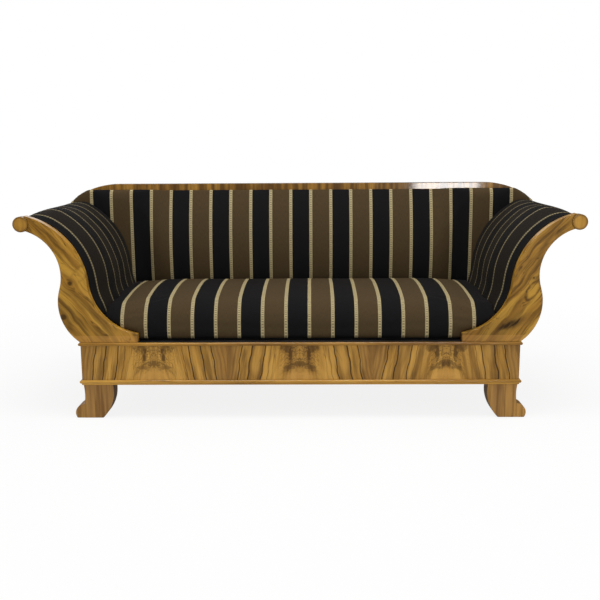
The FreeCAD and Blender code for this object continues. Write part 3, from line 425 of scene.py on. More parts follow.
def facade_walnut(name, figure):
    """Leaning walnut with the knots, dark smears and loops of one facade."""
    finish, tree, shader = new_finish(name)
    place = add(tree, "TexCoord").outputs["Object"]
    shades = []
    for centre, size in figure["knots"]:
        knot = add(tree, "Group", {"Vector": place, "Centre": centre, "Size": size}, node_tree=KNOT).outputs
        place = knot["Vector"]
        shades.append(times(tree, knot["Dark"], 0.9))
    x, y, z = add(tree, "SeparateXYZ", {0: place}).outputs
    lean = FACADE_LEAN * figure["side"]
    sway = times(tree, minus(tree, noise(tree, place, (7, 7, 7)), 0.5), 0.05)
    across = minus(tree, times(tree, x, cos(lean)), times(tree, z, sin(lean)))
    along = plus(tree, times(tree, x, sin(lean)), times(tree, z, cos(lean)))
    turned = add(tree, "CombineXYZ", {0: plus(tree, across, sway), 1: y, 2: along}).outputs[0]
    ragged = noise(tree, turned, (120, 120, 14), 3.0)
    patchy = noise(tree, turned, (46, 46, 20), 2.0)
    warp = add(tree, "TexNoise", {"Vector": place, "Scale": 26.0, "Detail": 4.0}).outputs["Color"]
    warp = add(tree, "VectorMath", {0: warp, 1: (0.5, 0.5, 0.5)}, operation="SUBTRACT").outputs[0]
    warp = add(tree, "VectorMath", {0: warp, "Scale": 0.02}, operation="SCALE").outputs[0]
    x, y, z = add(tree, "SeparateXYZ", {0: add(tree, "VectorMath", {0: place, 1: warp}).outputs[0]}).outputs
    for centre, turn, length, width, weight in figure["smears"]:
        field = smear_field(tree, x, z, centre, turn, length, width)
        field = times(tree, plus(tree, field, times(tree, ragged, 1.2)), -1.0)
        shades.append(times(tree, calc(tree, "EXPONENT", field), 1.6 * weight))
    inside = 0.0
    for centre, turn, length, width, weight in figure["loops"]:
        reach = calc(tree, "SQRT", smear_field(tree, x, z, centre, turn, length, width))
        ring = ease(tree, calc(tree, "ABSOLUTE", minus(tree, reach, 1.0)), 0.34, 0.0)
        shades.append(times(tree, ring, ease(tree, patchy, 0.3, 0.6, 0.4 * weight, weight)))
        inside = calc(tree, "MAXIMUM", inside, ease(tree, reach, 1.0, 0.5, 0.0, 0.6))
    shades.append(ease(tree, noise(tree, turned, (34, 34, 2.0), 3.0), 0.48, 0.66, 0.0, 0.65))
    shades.append(ease(tree, noise(tree, turned, (95, 95, 4.0), 2.0), 0.53, 0.68, 0.0, 0.7))
    growth = times(tree, noise(tree, turned, (15, 15, 2.4), 3.0), 11.0)
    growth = ease(tree, calc(tree, "PINGPONG", growth, 0.5), 0.11, 0.0)
    shades.append(times(tree, times(tree, growth, ease(tree, patchy, 0.38, 0.6)), 0.75))
    shade = darkest(tree, shades)
    tone = polished_walnut(tree, shader, turned, shade, linear(54, 33, 6), 0.6)
    pale = ease(tree, noise(tree, turned, (42, 60, 3.0), 3.0), 0.48, 0.66, 0.0, 0.55)
    clear = minus(tree, 1.0, shade)
    pale = times(tree, calc(tree, "MAXIMUM", pale, inside), clear)
    tone = blend(tree, pale, tone, linear(222, 174, 70))
    tone = blend(tree, times(tree, clear, 0.27), tone, linear(160, 112, 4))
    x, y, z = lengths(tree)
    foot = times(tree, ease(tree, z, FOOT_BAND_TOP + 0.0008, FOOT_BAND_TOP - 0.0008), 0.3)
    tree.links.new(blend(tree, foot, tone, linear(196, 142, 74)), shader.inputs["Base Color"])
    return finish


for side, figure in FACADE_FIGURES.items():
    eased_edges("arm_facade_" + side, 0.0016, facade_walnut("walnut_facade_" + side, figure))

for node in pair("arm_roundel"):
    low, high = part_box(node)
    middle = [(a + b) / 2 for a, b in zip(low, high)]
    finish, tree, shader = new_finish("walnut_" + node)
    x, y, z = lengths(tree)
    off = [minus(tree, length, centre) for length, centre in ((x, middle[0]), (z, middle[2]))]
    flat = add(tree, "CombineXYZ", {0: off[0], 1: off[1]}).outputs[0]
    reach = add(tree, "VectorMath", {0: flat}, operation="LENGTH").outputs["Value"]
    # Painted shade and painted highlight: a dark rim and a paler middle stand for the shading of the turned,
    # domed disc.
    rim = ease(tree, reach, 0.019, 0.0295, 0.0, 0.75)
    tone = polished_walnut(tree, shader, grain_along(tree, "Z"), rim)
    tone = blend(tree, ease(tree, reach, 0.02, 0.004, 0.1, 0.4), tone, linear(196, 146, 52))
    tree.links.new(tone, shader.inputs["Base Color"])
    eased_edges(node, 0.004, finish)

# ---------------------------------------------------------------------------------------------
# Arm rails: a shaped top rail with the roll on its edge, and a tacking rail beside the seat.
# The roll is polished walnut where it shows outside, the tacking rail bare beech.
# Both run from the facade to the back stile, and jute straps between them carry the padding.

ROLL_WALNUT = plain_walnut("walnut_roll", "Y")
for node in pair("arm_top_rail"):
    eased_edges(node, 0.001, ROLL_WALNUT)
dress(bare_wood("beech_deep", "Y", BEECH_DARK, BEECH_PALE), *pair("arm_base_rail", "seat_frame_side",
                                                                 "seat_frame_cross"))


def threads(tree, run, width):
    """Nought at the edges of each thread and one on its middle."""
    return times(tree, calc(tree, "PINGPONG", run, width / 2), 2 / width)


JUTE_THREAD = 0.0022
jute, tree, shader = new_finish("jute")
x, y, z = lengths(tree)
warp, weft = [threads(tree, plus(tree, side, z), JUTE_THREAD) for side in (x, y)]
thread = times(tree, plus(tree, warp, weft), 0.5)
slub = noise(tree, add(tree, "TexCoord").outputs["Object"], (160, 160, 160), 3.0)
tone = blend(tree, ease(tree, slub, 0.35, 0.65), linear(118, 88, 52), linear(176, 142, 94))
tone = blend(tree, ease(tree, thread, 0.5, 0.1, 0.0, 0.6), tone, linear(70, 50, 28))
unpolished(tree, shader, tone, 0.9, 0.1, thread, 0.0006)
dress(jute, *pair("arm_webbing"))

# ---------------------------------------------------------------------------------------------
# Arm padding: stuffed insides that swell from the facade's edge and roll over the top rail.
# Horsehair over the straps under a striped cover of black, brown and gold ribbons.
# The cover is drawn tight and tacked to the rails, so it pulls flat along the facade.

CLOTH_BLACK, CLOTH_BROWN = linear(20, 19, 21), linear(76, 61, 39)
RIBBON_PALE, RIBBON_DARK = linear(190, 174, 130), linear(70, 58, 36)
# Dark tone painted over the arms' cover as shade.
ARM_SHADE_TONE = linear(17, 16, 17)
RIBBON_HALF, ARM_RIBBON_HALF = 0.0067, 0.0042

STRIPES, stripes_in, stripes_out = shared_effect(
    "striped_cover", [("Across", "Float"), ("Along", "Float"), ("Pitch", "Float"), ("Ribbon", "Float")],
    [("Color", "Color"), ("Height", "Float"), ("Roughness", "Float"), ("Ribbon", "Float")])
to_side, to_run = stripes_in["Across"], stripes_in["Along"]
half_pitch = times(STRIPES, stripes_in["Pitch"], 0.5)
in_stripe = minus(STRIPES, calc(STRIPES, "PINGPONG", to_side, stripes_in["Pitch"]), half_pitch)
off_ribbon = calc(STRIPES, "ABSOLUTE", in_stripe)
to_selvedge = minus(STRIPES, off_ribbon, stripes_in["Ribbon"])
ribbon = ease(STRIPES, to_selvedge, 0.0004, -0.0004)
STRIPES.links.new(ribbon, stripes_out["Ribbon"])
cloth_place = add(STRIPES, "CombineXYZ", {0: to_side, 1: to_run, 2: 0.0}).outputs[0]
thread_tone = noise(STRIPES, cloth_place, (900, 60, 1), 2.0)
ground = blend(STRIPES, ease(STRIPES, in_stripe, -0.0004, 0.0004), CLOTH_BLACK, CLOTH_BROWN)
rib = threads(STRIPES, to_side, 0.0018)
ground = blend(STRIPES, ease(STRIPES, thread_tone, 0.3, 0.75, 0.0, 0.3), ground, linear(14, 12, 12))
rung = calc(STRIPES, "PINGPONG", to_run, 0.005)
rung_share = times(STRIPES, ease(STRIPES, rung, 0.0018, 0.0028), ease(STRIPES, off_ribbon, 0.0046, 0.0036))
off_edge = calc(STRIPES, "ABSOLUTE", plus(STRIPES, to_selvedge, 0.002))
edge_line = ease(STRIPES, off_edge, 0.0007, 0.0003)
ribbon_shade = darkest(STRIPES, [times(STRIPES, rung_share, 0.6), times(STRIPES, edge_line, 0.5)])
ribbon_tone = blend(STRIPES, ribbon_shade, RIBBON_PALE, RIBBON_DARK)
ribbon_tone = blend(STRIPES, ease(STRIPES, thread_tone, 0.3, 0.75, 0.0, 0.35), ribbon_tone, RIBBON_DARK)
STRIPES.links.new(blend(STRIPES, ribbon, ground, ribbon_tone), stripes_out["Color"])
pick = times(STRIPES, threads(STRIPES, plus(STRIPES, to_side, to_run), 0.0014), 0.49)
relief = plus(STRIPES, plus(STRIPES, pick, rib), times(STRIPES, ribbon, 1.2))
STRIPES.links.new(minus(STRIPES, relief, ribbon_shade), stripes_out["Height"])
STRIPES.links.new(ease(STRIPES, ribbon, 0.0, 1.0, 0.86, 0.6), stripes_out["Roughness"])


def striped_cover(name, across, black_middle, pitch, along, ribbon=RIBBON_HALF, arm_shade=0.0):
    """Striped cloth: axis across the stripes, middle of a black stripe, and weights of the run along them."""
    finish, tree, shader = new_finish(name)
    axes = dict(zip("XYZ", lengths(tree)))
    run = 0.0
    for axis, weight in along:
        step = calc(tree, "ABSOLUTE", axes[axis]) if axis == "X" else axes[axis]
        run = plus(tree, times(tree, step, weight), run)
    side = minus(tree, axes[across], black_middle)
    measures = {"Across": side, "Along": run, "Pitch": pitch, "Ribbon": ribbon}
    cloth = add(tree, "Group", measures, node_tree=STRIPES).outputs
    tone = cloth["Color"]
    # Painted shade: this darkens the whole cloth, the ground more than the ribbons, as a shaded copy of the
    # same cover.
    if arm_shade:
        tone = blend(tree, ease(tree, cloth["Ribbon"], 0.0, 1.0, arm_shade, 0.52 * arm_shade), tone, ARM_SHADE_TONE)
    tree.links.new(tone, shader.inputs["Base Color"])
    tree.links.new(cloth["Roughness"], shader.inputs["Roughness"])
    shader.inputs["Specular IOR Level"].default_value = 0.12
    shader.inputs["Sheen Weight"].default_value = 0.04
    shader.inputs["Sheen Roughness"].default_value = 0.4
    shader.inputs["Sheen Tint"].default_value = linear(190, 176, 150)
    bumped(tree, shader, cloth["Height"], 0.00035, 0.7)
    return finish


def settled(piece):
    """Replace a piece's mesh by what its modifiers make of it."""
    graph = bpy.context.evaluated_depsgraph_get()
    made = bpy.data.meshes.new_from_object(piece.evaluated_get(graph))
    piece.modifiers.clear()
    piece.data = made


ROUNDED_BY = 0.0022
CLOTH_STEPS = 20


def stuffed(node, cell, rounding, slack, give, tacked, filled, finish, body="frame"):
    """Padded piece over a node's place: remeshed, rounded, then blown up as cloth where it isn't tacked.

    cell is the mesh's size, rounding its number of smoothing rounds, slack how far it starts inside
    the node's surface, give the most that a point may move outwards, and filled how far the stuffing
    moves a point before that.
    """
    shape = merged_copy(node)
    surface = BVHTree.FromBMesh(shape)
    piece = shown(node + "_cover", shape, finish, "striped_fabric", body, node)
    remesh = piece.modifiers.new("even_mesh", "REMESH")
    remesh.mode = "VOXEL"
    remesh.voxel_size = cell
    settled(piece)
    mesh = bmesh.new()
    mesh.from_mesh(piece.data)
    for _ in range(rounding):
        bmesh.ops.smooth_vert(mesh, verts=mesh.verts, factor=0.5, use_axis_x=True, use_axis_y=True,
                              use_axis_z=True)
    for vert in mesh.verts:
        nearest = surface.find_nearest(vert.co)[0]
        off = vert.co - nearest
        if off.length > ROUNDED_BY:
            vert.co = nearest + off * (ROUNDED_BY / off.length)
    mesh.normal_update()
    held = [tacked(vert.co, vert.normal) for vert in mesh.verts]
    inward = [vert.normal * slack for vert in mesh.verts]
    more = [filled(vert.co, vert.normal) for vert in mesh.verts]
    for vert, fixed, step, push in zip(mesh.verts, held, inward, more):
        vert.co += push
        if not fixed:
            vert.co -= step
    mesh.to_mesh(piece.data)
    mesh.free()
    start = [vert.co.copy() for vert in piece.data.vertices]
    tacks = piece.vertex_groups.new(name="tacked")
    tacks.add([i for i, fixed in enumerate(held) if fixed], 1.0, "REPLACE")
    cloth = piece.modifiers.new("cover", "CLOTH")
    cloth.settings.quality = 4
    cloth.settings.use_pressure = True
    cloth.settings.uniform_pressure_force = 4.0
    cloth.settings.effector_weights.gravity = 0.0
    cloth.settings.vertex_group_mass = "tacked"
    cloth.collision_settings.use_collision = False
    cloth.point_cache.frame_start = 1
    cloth.point_cache.frame_end = CLOTH_STEPS
    for step in range(1, CLOTH_STEPS + 1):
        bpy.context.scene.frame_set(step)
    graph = bpy.context.evaluated_depsgraph_get()
    blown = [vert.co.copy() for vert in piece.evaluated_get(graph).data.vertices]
    piece.modifiers.clear()
    piece.vertex_groups.clear()
    bpy.context.scene.frame_set(1)
    for vert, first, last in zip(piece.data.vertices, start, blown):
        move = last - first
        if move.length > give:
            move.length = give
        vert.co = first + move
    piece.data.materials.clear()
    piece.data.materials.append(finish)
    for face in piece.data.polygons:
        face.use_smooth = True
    fine = piece.modifiers.new("fine_mesh", "SUBSURF")
    fine.levels = fine.render_levels = 1
    return piece


ARM_FRONT_Y, ARM_REAR_Y, ARM_PAD_LOW = -0.3368, 0.2507, 0.426
# The arms' cover is the same cloth as the seat and back, darkened as painted shade for the dim insides of the
# arms.
ARM_COVER = striped_cover("striped_arm", "Y", -0.330, 0.090, (("X", 0.75), ("Z", 0.75)),
                          ARM_RIBBON_HALF, 0.88)


def arm_tacked(co, normal):
    """Ends, lower edge and bed of the arm's cover."""
    outward = normal.x * (1 if co.x > 0 else -1)
    return (co.y < ARM_FRONT_Y + 0.012 or co.y > ARM_REAR_Y - 0.012 or co.z < ARM_PAD_LOW + 0.012
            or outward > 0.35 or normal.z < -0.3)


def rise(value, low, high):
    """Smooth step from nought at low to one at high."""
    share = min(max((value - low) / (high - low), 0.0), 1.0)
    return share * share * (3 - 2 * share)


def arm_filled(co, normal):
    """More stuffing behind the facade: full at the shoulder, drawn in beside the seat."""
    side = 1 if co.x > 0 else -1
    if normal.x * side > 0.35 or (normal.z < -0.3 and co.z > 0.46):
        return Vector((0, 0, 0))
    depth = rise(co.y, ARM_FRONT_Y + 0.01, ARM_FRONT_Y + 0.16)
    full = normal * (0.009 * rise(co.z, 0.47, 0.53) * rise(abs(co.x), 1.05, 0.96))
    tucked = Vector((0, 0, -0.022 * rise(co.z, 0.455, 0.432)))
    return (full + Vector((side * 0.009 * rise(co.z, 0.485, 0.44), 0, 0))) * depth + tucked


for node in pair("arm_pad"):
    stuffed(node, 0.008, 4, 0.002, 0.005, arm_tacked, arm_filled, ARM_COVER)

# ---------------------------------------------------------------------------------------------
# Arm outer panels: the striped cloth over the outside of each arm.
# One length of cover cloth stretched over the arm's hollow back, from the apron up to the roll.
# Its edges are turned in and tacked behind the facade, the stile and the roll.

PANEL_FOOT = (0.86342, 0.30881)
PANEL_BENDS = ((35.6, 107.3, 0.1906, 26), (107.3, 16.0, -0.1828, 30))
PANEL_FRONT_Y, PANEL_REAR_Y = -0.3365, 0.285
PANEL_COVER = striped_cover("striped_panel", "Y", -0.33775, 0.092, (("X", 0.75), ("Z", 0.75)))


def thickened(piece, thickness, offset=-1.0):
    """Thickness behind the face of a cloth, or to both sides with an offset of nought."""
    wall = piece.modifiers.new("thickness", "SOLIDIFY")
    wall.thickness, wall.offset = thickness, offset


def outer_panel(side):
    """Cloth on the outside of one arm: its lower edge spun up along the two bends."""
    mesh = bmesh.new()
    ends = [mesh.verts.new((PANEL_FOOT[0], y, PANEL_FOOT[1])) for y in (PANEL_FRONT_Y, PANEL_REAR_Y)]
    edge = mesh.edges.new(ends)
    bmesh.ops.subdivide_edges(mesh, edges=[edge], cuts=24)
    line = mesh.verts[:] + mesh.edges[:]
    foot_x, foot_z = PANEL_FOOT
    for begin, end, reach, steps in PANEL_BENDS:
        middle = Vector((foot_x - reach * sin(radians(begin)), 0, foot_z + reach * cos(radians(begin))))
        line = bmesh.ops.spin(mesh, geom=line, cent=middle, axis=(0, 1, 0), dvec=(0, 0, 0),
                              angle=radians(begin - end), steps=steps)["geom_last"]
        foot_x, foot_z = middle.x + reach * sin(radians(end)), middle.z - reach * cos(radians(end))
    bmesh.ops.remove_doubles(mesh, verts=mesh.verts, dist=1e-5)
    if side < 0:
        bmesh.ops.scale(mesh, vec=(-1, 1, 1), verts=mesh.verts)
    bmesh.ops.recalc_face_normals(mesh, faces=mesh.faces)
    name = "_right" if side > 0 else "_left"
    if sum(face.normal.x * side for face in mesh.faces) < 0:
        bmesh.ops.reverse_faces(mesh, faces=mesh.faces)
    piece = shown("arm_outer_cloth" + name, mesh, PANEL_COVER, "striped_fabric", "frame",
                  "arm_outer_panel" + name)
    thickened(piece, 0.0016)


outer_panel(-1)
outer_panel(1)

# ---------------------------------------------------------------------------------------------
# Back frame: S-shaped stiles, a bottom rail and two muntins under a shaped crest.
# Beech throughout, the crest faced with cross-banded walnut and polished, the stiles stained to match.
# The crest is tenoned on the stiles, and straps over the frame carry the padding.

crest_walnut, tree, shader = new_finish("walnut_crest")
crest_place = grain_along(tree, "Z")
streaks = ease(tree, noise(tree, crest_place, (42, 20, 3.0), 3.0), 0.4, 0.62, 0.25, 0.85)
polished_walnut(tree, shader, crest_place, streaks, linear(82, 54, 20), 1.0)
eased_edges("back_crest", 0.003, crest_walnut)
for node in pair("back_stile"):
    eased_edges(node, 0.0015, LEG_WALNUT, "beech_frame")
BEECH_LONG = bare_wood("beech_long", "X", BEECH_DARK, BEECH_PALE)
dress(BEECH_LONG, "back_rail", "seat_frame_front", "seat_frame_rear")

STRAP_WIDTH, STRAP_THICKNESS, STRAP_WEAVE = 0.06, 0.0017, 0.00105
STRAP_STEPS = 8


def woven_straps(runs, crossings, run_span, cross_span):
    """Straps in a level net: runs lie along Y at the given X, crossings along X at the given Y."""
    mesh = bmesh.new()

    def strap(spot, stops, span, along_x, phase):
        places = sorted(stops)
        step = (places[1] - places[0]) / STRAP_STEPS
        count = round((span[1] - span[0]) / step)
        made = bmesh.ops.create_grid(mesh, x_segments=count, y_segments=4, size=0.5)["verts"]
        for vert in made:
            run = span[0] + (vert.co.x + 0.5) * (span[1] - span[0])
            wave = cos(pi * (run - places[0]) / (places[1] - places[0]) + pi * phase) * STRAP_WEAVE
            side = spot + vert.co.y * STRAP_WIDTH
            vert.co = (run, side, wave) if along_x else (side, run, wave)

    for number, x in enumerate(runs):
        strap(x, crossings, run_span, False, number)
    for number, y in enumerate(crossings):
        strap(y, runs, cross_span, True, number + 1)
    bmesh.ops.recalc_face_normals(mesh, faces=mesh.faces)
    return mesh


def strapped(name, mesh, body, node):
    thickened(shown(name, mesh, jute, "jute_webbing", body, node), STRAP_THICKNESS, 0.0)


NET_HALF, NET_LOW, NET_HIGH, NET_Y = 0.784, 0.3805, 0.8545, 0.28325
BACK_NET_X = [-NET_HALF + (i + 0.5) * 2 * NET_HALF / 7 for i in range(7)]
BACK_NET_Z = [NET_LOW + (i + 1) * (NET_HIGH - NET_LOW) / 4 for i in range(3)]
net = woven_straps(BACK_NET_X, BACK_NET_Z, (NET_LOW, NET_HIGH), (-NET_HALF, NET_HALF))
stand = Matrix.Translation((0, NET_Y, 0)) @ Matrix.Rotation(pi / 2, 4, "X")
bmesh.ops.transform(net, matrix=stand, verts=net.verts)
strapped("back_straps", net, "frame", "back_webbing")

# ---------------------------------------------------------------------------------------------
# Back padding: one stuffed panel that fills the back between the arms, under the crest.
# Horsehair on the straps under striped cover cloth, its middle stripe black.
# It bulges forwards at half height and is tacked along the crest and into the frame's sides.

BACK_BED_Y, BACK_LOW_Z = 0.28095, 0.426
BACK_COVER = striped_cover("striped_back", "X", 0.0, 0.091, (("Z", 1.0),))


def back_tacked(co, normal):
    """Bed and lower edge of the back's cover, and its edge under the crest."""
    return co.y > BACK_BED_Y - 0.011 or co.z < BACK_LOW_Z + 0.012 or abs(co.x) > 0.95


def back_filled(co, normal):
    """Cover drawn up on the crest's face."""
    return Vector((0, 0, 0.009 * rise(co.z, 0.79, 0.86)))


stuffed("back_pad", 0.010, 4, 0.003, 0.006, back_tacked, back_filled, BACK_COVER)

# ---------------------------------------------------------------------------------------------
# Back lining: plain black cloth over the rear of the frame, with the tacks that hold it.
# One piece of thin cotton, turned in at its edges, slightly slack between the frame's uprights.
# Blued iron tacks run round it about every 42 mm.

LINING_THREAD = 0.0012
lining, tree, shader = new_finish("black_lining")
x, y, z = lengths(tree)
weave = times(tree, *(threads(tree, side, LINING_THREAD) for side in (x, z)))
faded = noise(tree, add(tree, "TexCoord").outputs["Object"], (6, 6, 6), 3.0)
tone = blend(tree, ease(tree, faded, 0.35, 0.7), linear(26, 25, 26), linear(44, 42, 42))
tone = blend(tree, ease(tree, weave, 0.4, 0.0, 0.0, 0.5), tone, linear(10, 10, 11))
unpolished(tree, shader, tone, 0.92, 0.1, weave, 0.0004)

LINING_PANELS = ((-0.784, -0.287), (-0.237, 0.237), (0.287, 0.784))
LINING_LOW, LINING_HIGH, LINING_SAG = 0.420, 0.814, 0.005
LINING_CUTS, LINING_STEP = ((0, -1.05, 1.05), (2, 0.33, 0.83)), 0.042

mesh = merged_copy("back_rear_cloth")
unseen = [face for face in mesh.faces if face.normal.y < 0.9]
bmesh.ops.delete(mesh, geom=unseen, context="FACES")
bmesh.ops.dissolve_limit(mesh, angle_limit=radians(1), verts=mesh.verts, edges=mesh.edges)
for axis, low, high in LINING_CUTS:
    spot = low
    while spot < high:
        point, normal = Vector((0, 0, 0)), Vector((0, 0, 0))
        point[axis], normal[axis] = spot, 1.0
        parts = mesh.verts[:] + mesh.edges[:] + mesh.faces[:]
        bmesh.ops.bisect_plane(mesh, geom=parts, dist=1e-5, plane_co=point, plane_no=normal)
        spot += LINING_STEP
outline = [vert.co.copy() for vert in mesh.verts if vert.is_boundary]
for vert in mesh.verts:
    for low, high in LINING_PANELS:
        if low < vert.co.x < high and LINING_LOW < vert.co.z < LINING_HIGH:
            bay = sin(pi * (vert.co.x - low) / (high - low)) * sin(
                pi * (vert.co.z - LINING_LOW) / (LINING_HIGH - LINING_LOW))
            vert.co.y -= LINING_SAG * bay
bmesh.ops.triangulate(mesh, faces=[face for face in mesh.faces if len(face.verts) > 4])
piece = shown("back_lining", mesh, lining, "black_cloth", "frame", "back_rear_cloth")
thickened(piece, 0.0012)

blued_iron, tree, shader = new_finish("blued_iron")
iron_place = add(tree, "TexCoord").outputs["Object"]
rust = noise(tree, iron_place, (400, 400, 400), 2.0)
tree.links.new(blend(tree, ease(tree, rust, 0.4, 0.7), linear(52, 52, 58), linear(84, 66, 52)),
               shader.inputs["Base Color"])
tree.links.new(ease(tree, rust, 0.4, 0.7, 0.35, 0.6), shader.inputs["Roughness"])
shader.inputs["Metallic"].default_value = 0.8

TACK_SPACING, TACK_SETIN = 0.04, 0.008
TACKED_FOOT, TACKED_TOP = 0.34, 0.80
mesh = bmesh.new()
driven = []
for spot in outline:
    if any((spot - other).length < TACK_SPACING for other in driven):
        continue
    driven.append(spot)
    inward = Vector((-1 if spot.x > 0 else 1, 0, 0))
    if spot.z <= TACKED_FOOT or spot.z >= TACKED_TOP:
        inward = Vector((0, 0, -1 if spot.z >= TACKED_TOP else 1))
    place = Matrix.Translation(spot + inward * TACK_SETIN + Vector((0, 0.0005, 0)))
    bmesh.ops.create_cone(mesh, cap_ends=True, segments=8, radius1=0.0034, radius2=0.0014, depth=0.0014,
                          matrix=place @ Matrix.Rotation(-pi / 2, 4, "X"))
shown("back_lining_tacks", mesh, blued_iron, "black_cloth", "frame")

# ---------------------------------------------------------------------------------------------
# Seat webbing and hessian: the net of straps on the loose seat's frame and the cloth over it.
# Jute straps woven over and under each other, and coarse hessian sewn down on them.
# The straps are tacked to the top of the beech frame, which lifts out with the pad.

SEAT_HALF, SEAT_FRONT_Y, SEAT_REAR_Y = 0.6998, -0.3298, 0.2019
SEAT_DEPTH = SEAT_REAR_Y - SEAT_FRONT_Y
SEAT_NET_Z, HESSIAN_Z, HESSIAN_SAG = 0.310, 0.3134, 0.0002
SEAT_NET_X = [-SEAT_HALF + (i + 0.5) * 2 * SEAT_HALF / 9 for i in range(9)]
SEAT_NET_Y = [SEAT_FRONT_Y + (i + 0.5) * SEAT_DEPTH / 4 for i in range(4)]
net = woven_straps(SEAT_NET_X, SEAT_NET_Y, (SEAT_FRONT_Y, SEAT_REAR_Y), (-SEAT_HALF, SEAT_HALF))
bmesh.ops.translate(net, vec=(0, 0, SEAT_NET_Z), verts=net.verts)
strapped("seat_straps", net, "seat", "seat_webbing")

HESSIAN_THREAD = 0.0024
hessian, tree, shader = new_finish("hessian")
x, y, z = lengths(tree)
weave = calc(tree, "MAXIMUM", *(threads(tree, side, HESSIAN_THREAD) for side in (x, y)))
slub = noise(tree, add(tree, "TexCoord").outputs["Object"], (220, 220, 60), 3.0)
tone = blend(tree, ease(tree, slub, 0.35, 0.65), linear(134, 102, 62), linear(184, 150, 102))
tone = blend(tree, ease(tree, weave, 0.55, 0.25, 0.0, 0.8), tone, linear(58, 42, 24))
unpolished(tree, shader, tone, 0.92, 0.1, weave, 0.0006)
mesh = bmesh.new()
bmesh.ops.create_grid(mesh, x_segments=72, y_segments=28, size=0.5)
for vert in mesh.verts:
    right, rear = vert.co.x + 0.5, vert.co.y + 0.5
    bay = sin(9 * pi * right) * sin(4 * pi * rear)
    vert.co = ((2 * right - 1) * SEAT_HALF, SEAT_FRONT_Y + rear * SEAT_DEPTH,
               HESSIAN_Z - HESSIAN_SAG * (1 + bay))
piece = shown("seat_hessian_cloth", mesh, hessian, "hessian", "seat", "seat_hessian")
thickened(piece, 0.0008)

# ---------------------------------------------------------------------------------------------
# Seat padding: one long stuffed seat with a rolled front edge, rounded down at both ends.
# Horsehair under striped cover cloth whose stripes run from the back over the front roll.
# The cover is drawn under the nose and tacked to the loose frame; a thin black braid runs along its lower
# front edge, partly trim and partly a dark strip for the shade in the gap under the roll.

SEAT_PAD_LOW = 0.3138
SEAT_COVER = striped_cover("striped_seat", "X", -0.0075, 0.0925, (("Y", 0.85), ("Z", 0.85)))


def seat_tacked(co, normal):
    """Underside, rear and ends of the seat's cover."""
    return co.z < SEAT_PAD_LOW + 0.014 or co.y > 0.185 or abs(co.x) > 0.70


def seat_filled(co, normal):
    """Roll's lower edge, drawn forwards over the ledge."""
    return Vector((0, -0.003 * rise(co.y, -0.30, -0.33) * rise(co.z, 0.345, 0.325), 0))


stuffed("seat_pad", 0.010, 2, 0.002, 0.005, seat_tacked, seat_filled, SEAT_COVER, "seat")

black_braid, tree, shader = new_finish("black_braid")
x, y, z = lengths(tree)
twist = threads(tree, plus(tree, x, z), 0.003)
unpolished(tree, shader, blend(tree, twist, linear(12, 12, 13), linear(34, 32, 33)), 0.85, 0.15, twist, 0.0008)

# Painted shade: the black braid is partly a dark strip laid in for the shade in the gap under the seat's roll.
BRAID_HALF = 0.6985
mesh = bmesh.new()
ring = bmesh.ops.create_circle(mesh, segments=16, radius=1.0)["verts"]
lay = Matrix.Translation((-BRAID_HALF, -0.3325, 0.3132)) @ Matrix.Diagonal((1, 0.0026, 0.0036, 1))
bmesh.ops.transform(mesh, matrix=lay @ Matrix.Rotation(pi / 2, 4, "Y"), verts=ring)
rim = mesh.edges[:]
drawn = bmesh.ops.extrude_edge_only(mesh, edges=rim)["geom"]
far = [part for part in drawn if isinstance(part, bmesh.types.BMVert)]
bmesh.ops.translate(mesh, vec=(2 * BRAID_HALF, 0, 0), verts=far)
bmesh.ops.holes_fill(mesh, edges=[edge for edge in mesh.edges if edge.is_boundary])
bmesh.ops.recalc_face_normals(mesh, faces=mesh.faces)
shown("seat_braid", mesh, black_braid, "black_cloth", "seat")

# ---------------------------------------------------------------------------------------------
# Ledge felt: a black strip on the front rail's top between the toes of the facades.
# Thin wool felt glued to the rail, so that the loose seat doesn't rub the polish.
# Its front edge stops just behind the bead.

FELT_HALF, FELT_FRONT_Y, FELT_REAR_Y = 0.6365, -0.3690, -0.3338
FELT_Z, FELT_HEIGHT = 0.3081, 0.0012
mesh = bmesh.new()
size = (2 * FELT_HALF, FELT_REAR_Y - FELT_FRONT_Y, FELT_HEIGHT)
middle = (0, (FELT_REAR_Y + FELT_FRONT_Y) / 2, FELT_Z + FELT_HEIGHT / 2)
bmesh.ops.create_cube(mesh, size=1.0, matrix=Matrix.Translation(middle) @ Matrix.Diagonal((*size, 1)))
bmesh.ops.bevel(mesh, geom=mesh.edges[:], offset=0.0004, affect="EDGES", segments=2, profile=0.5, material=-1)
shown("ledge_felt", mesh, lining, "black_cloth", "frame")

# ---------------------------------------------------------------------------------------------
# Studio: a pale floor that runs back to a white surround, under a soft dome and an overhead light.
# The floor is white to the camera and keeps a light shadow under the sofa.
# A small window-like light at the right is what the polished crest reflects.

bpy.context.scene.view_settings.view_transform = "Standard"


def seen_directly(tree):
    """One for rays from the camera, a mirror or glass."""
    path = add(tree, "LightPath").outputs
    direct = calc(tree, "MAXIMUM", path["Is Camera Ray"], path["Is Glossy Ray"])
    return calc(tree, "MAXIMUM", direct, path["Is Transmission Ray"])


def not_mirrored(tree):
    """Nought for what a polished face reflects, one for all other rays."""
    return minus(tree, 1.0, add(tree, "LightPath").outputs["Is Glossy Ray"])


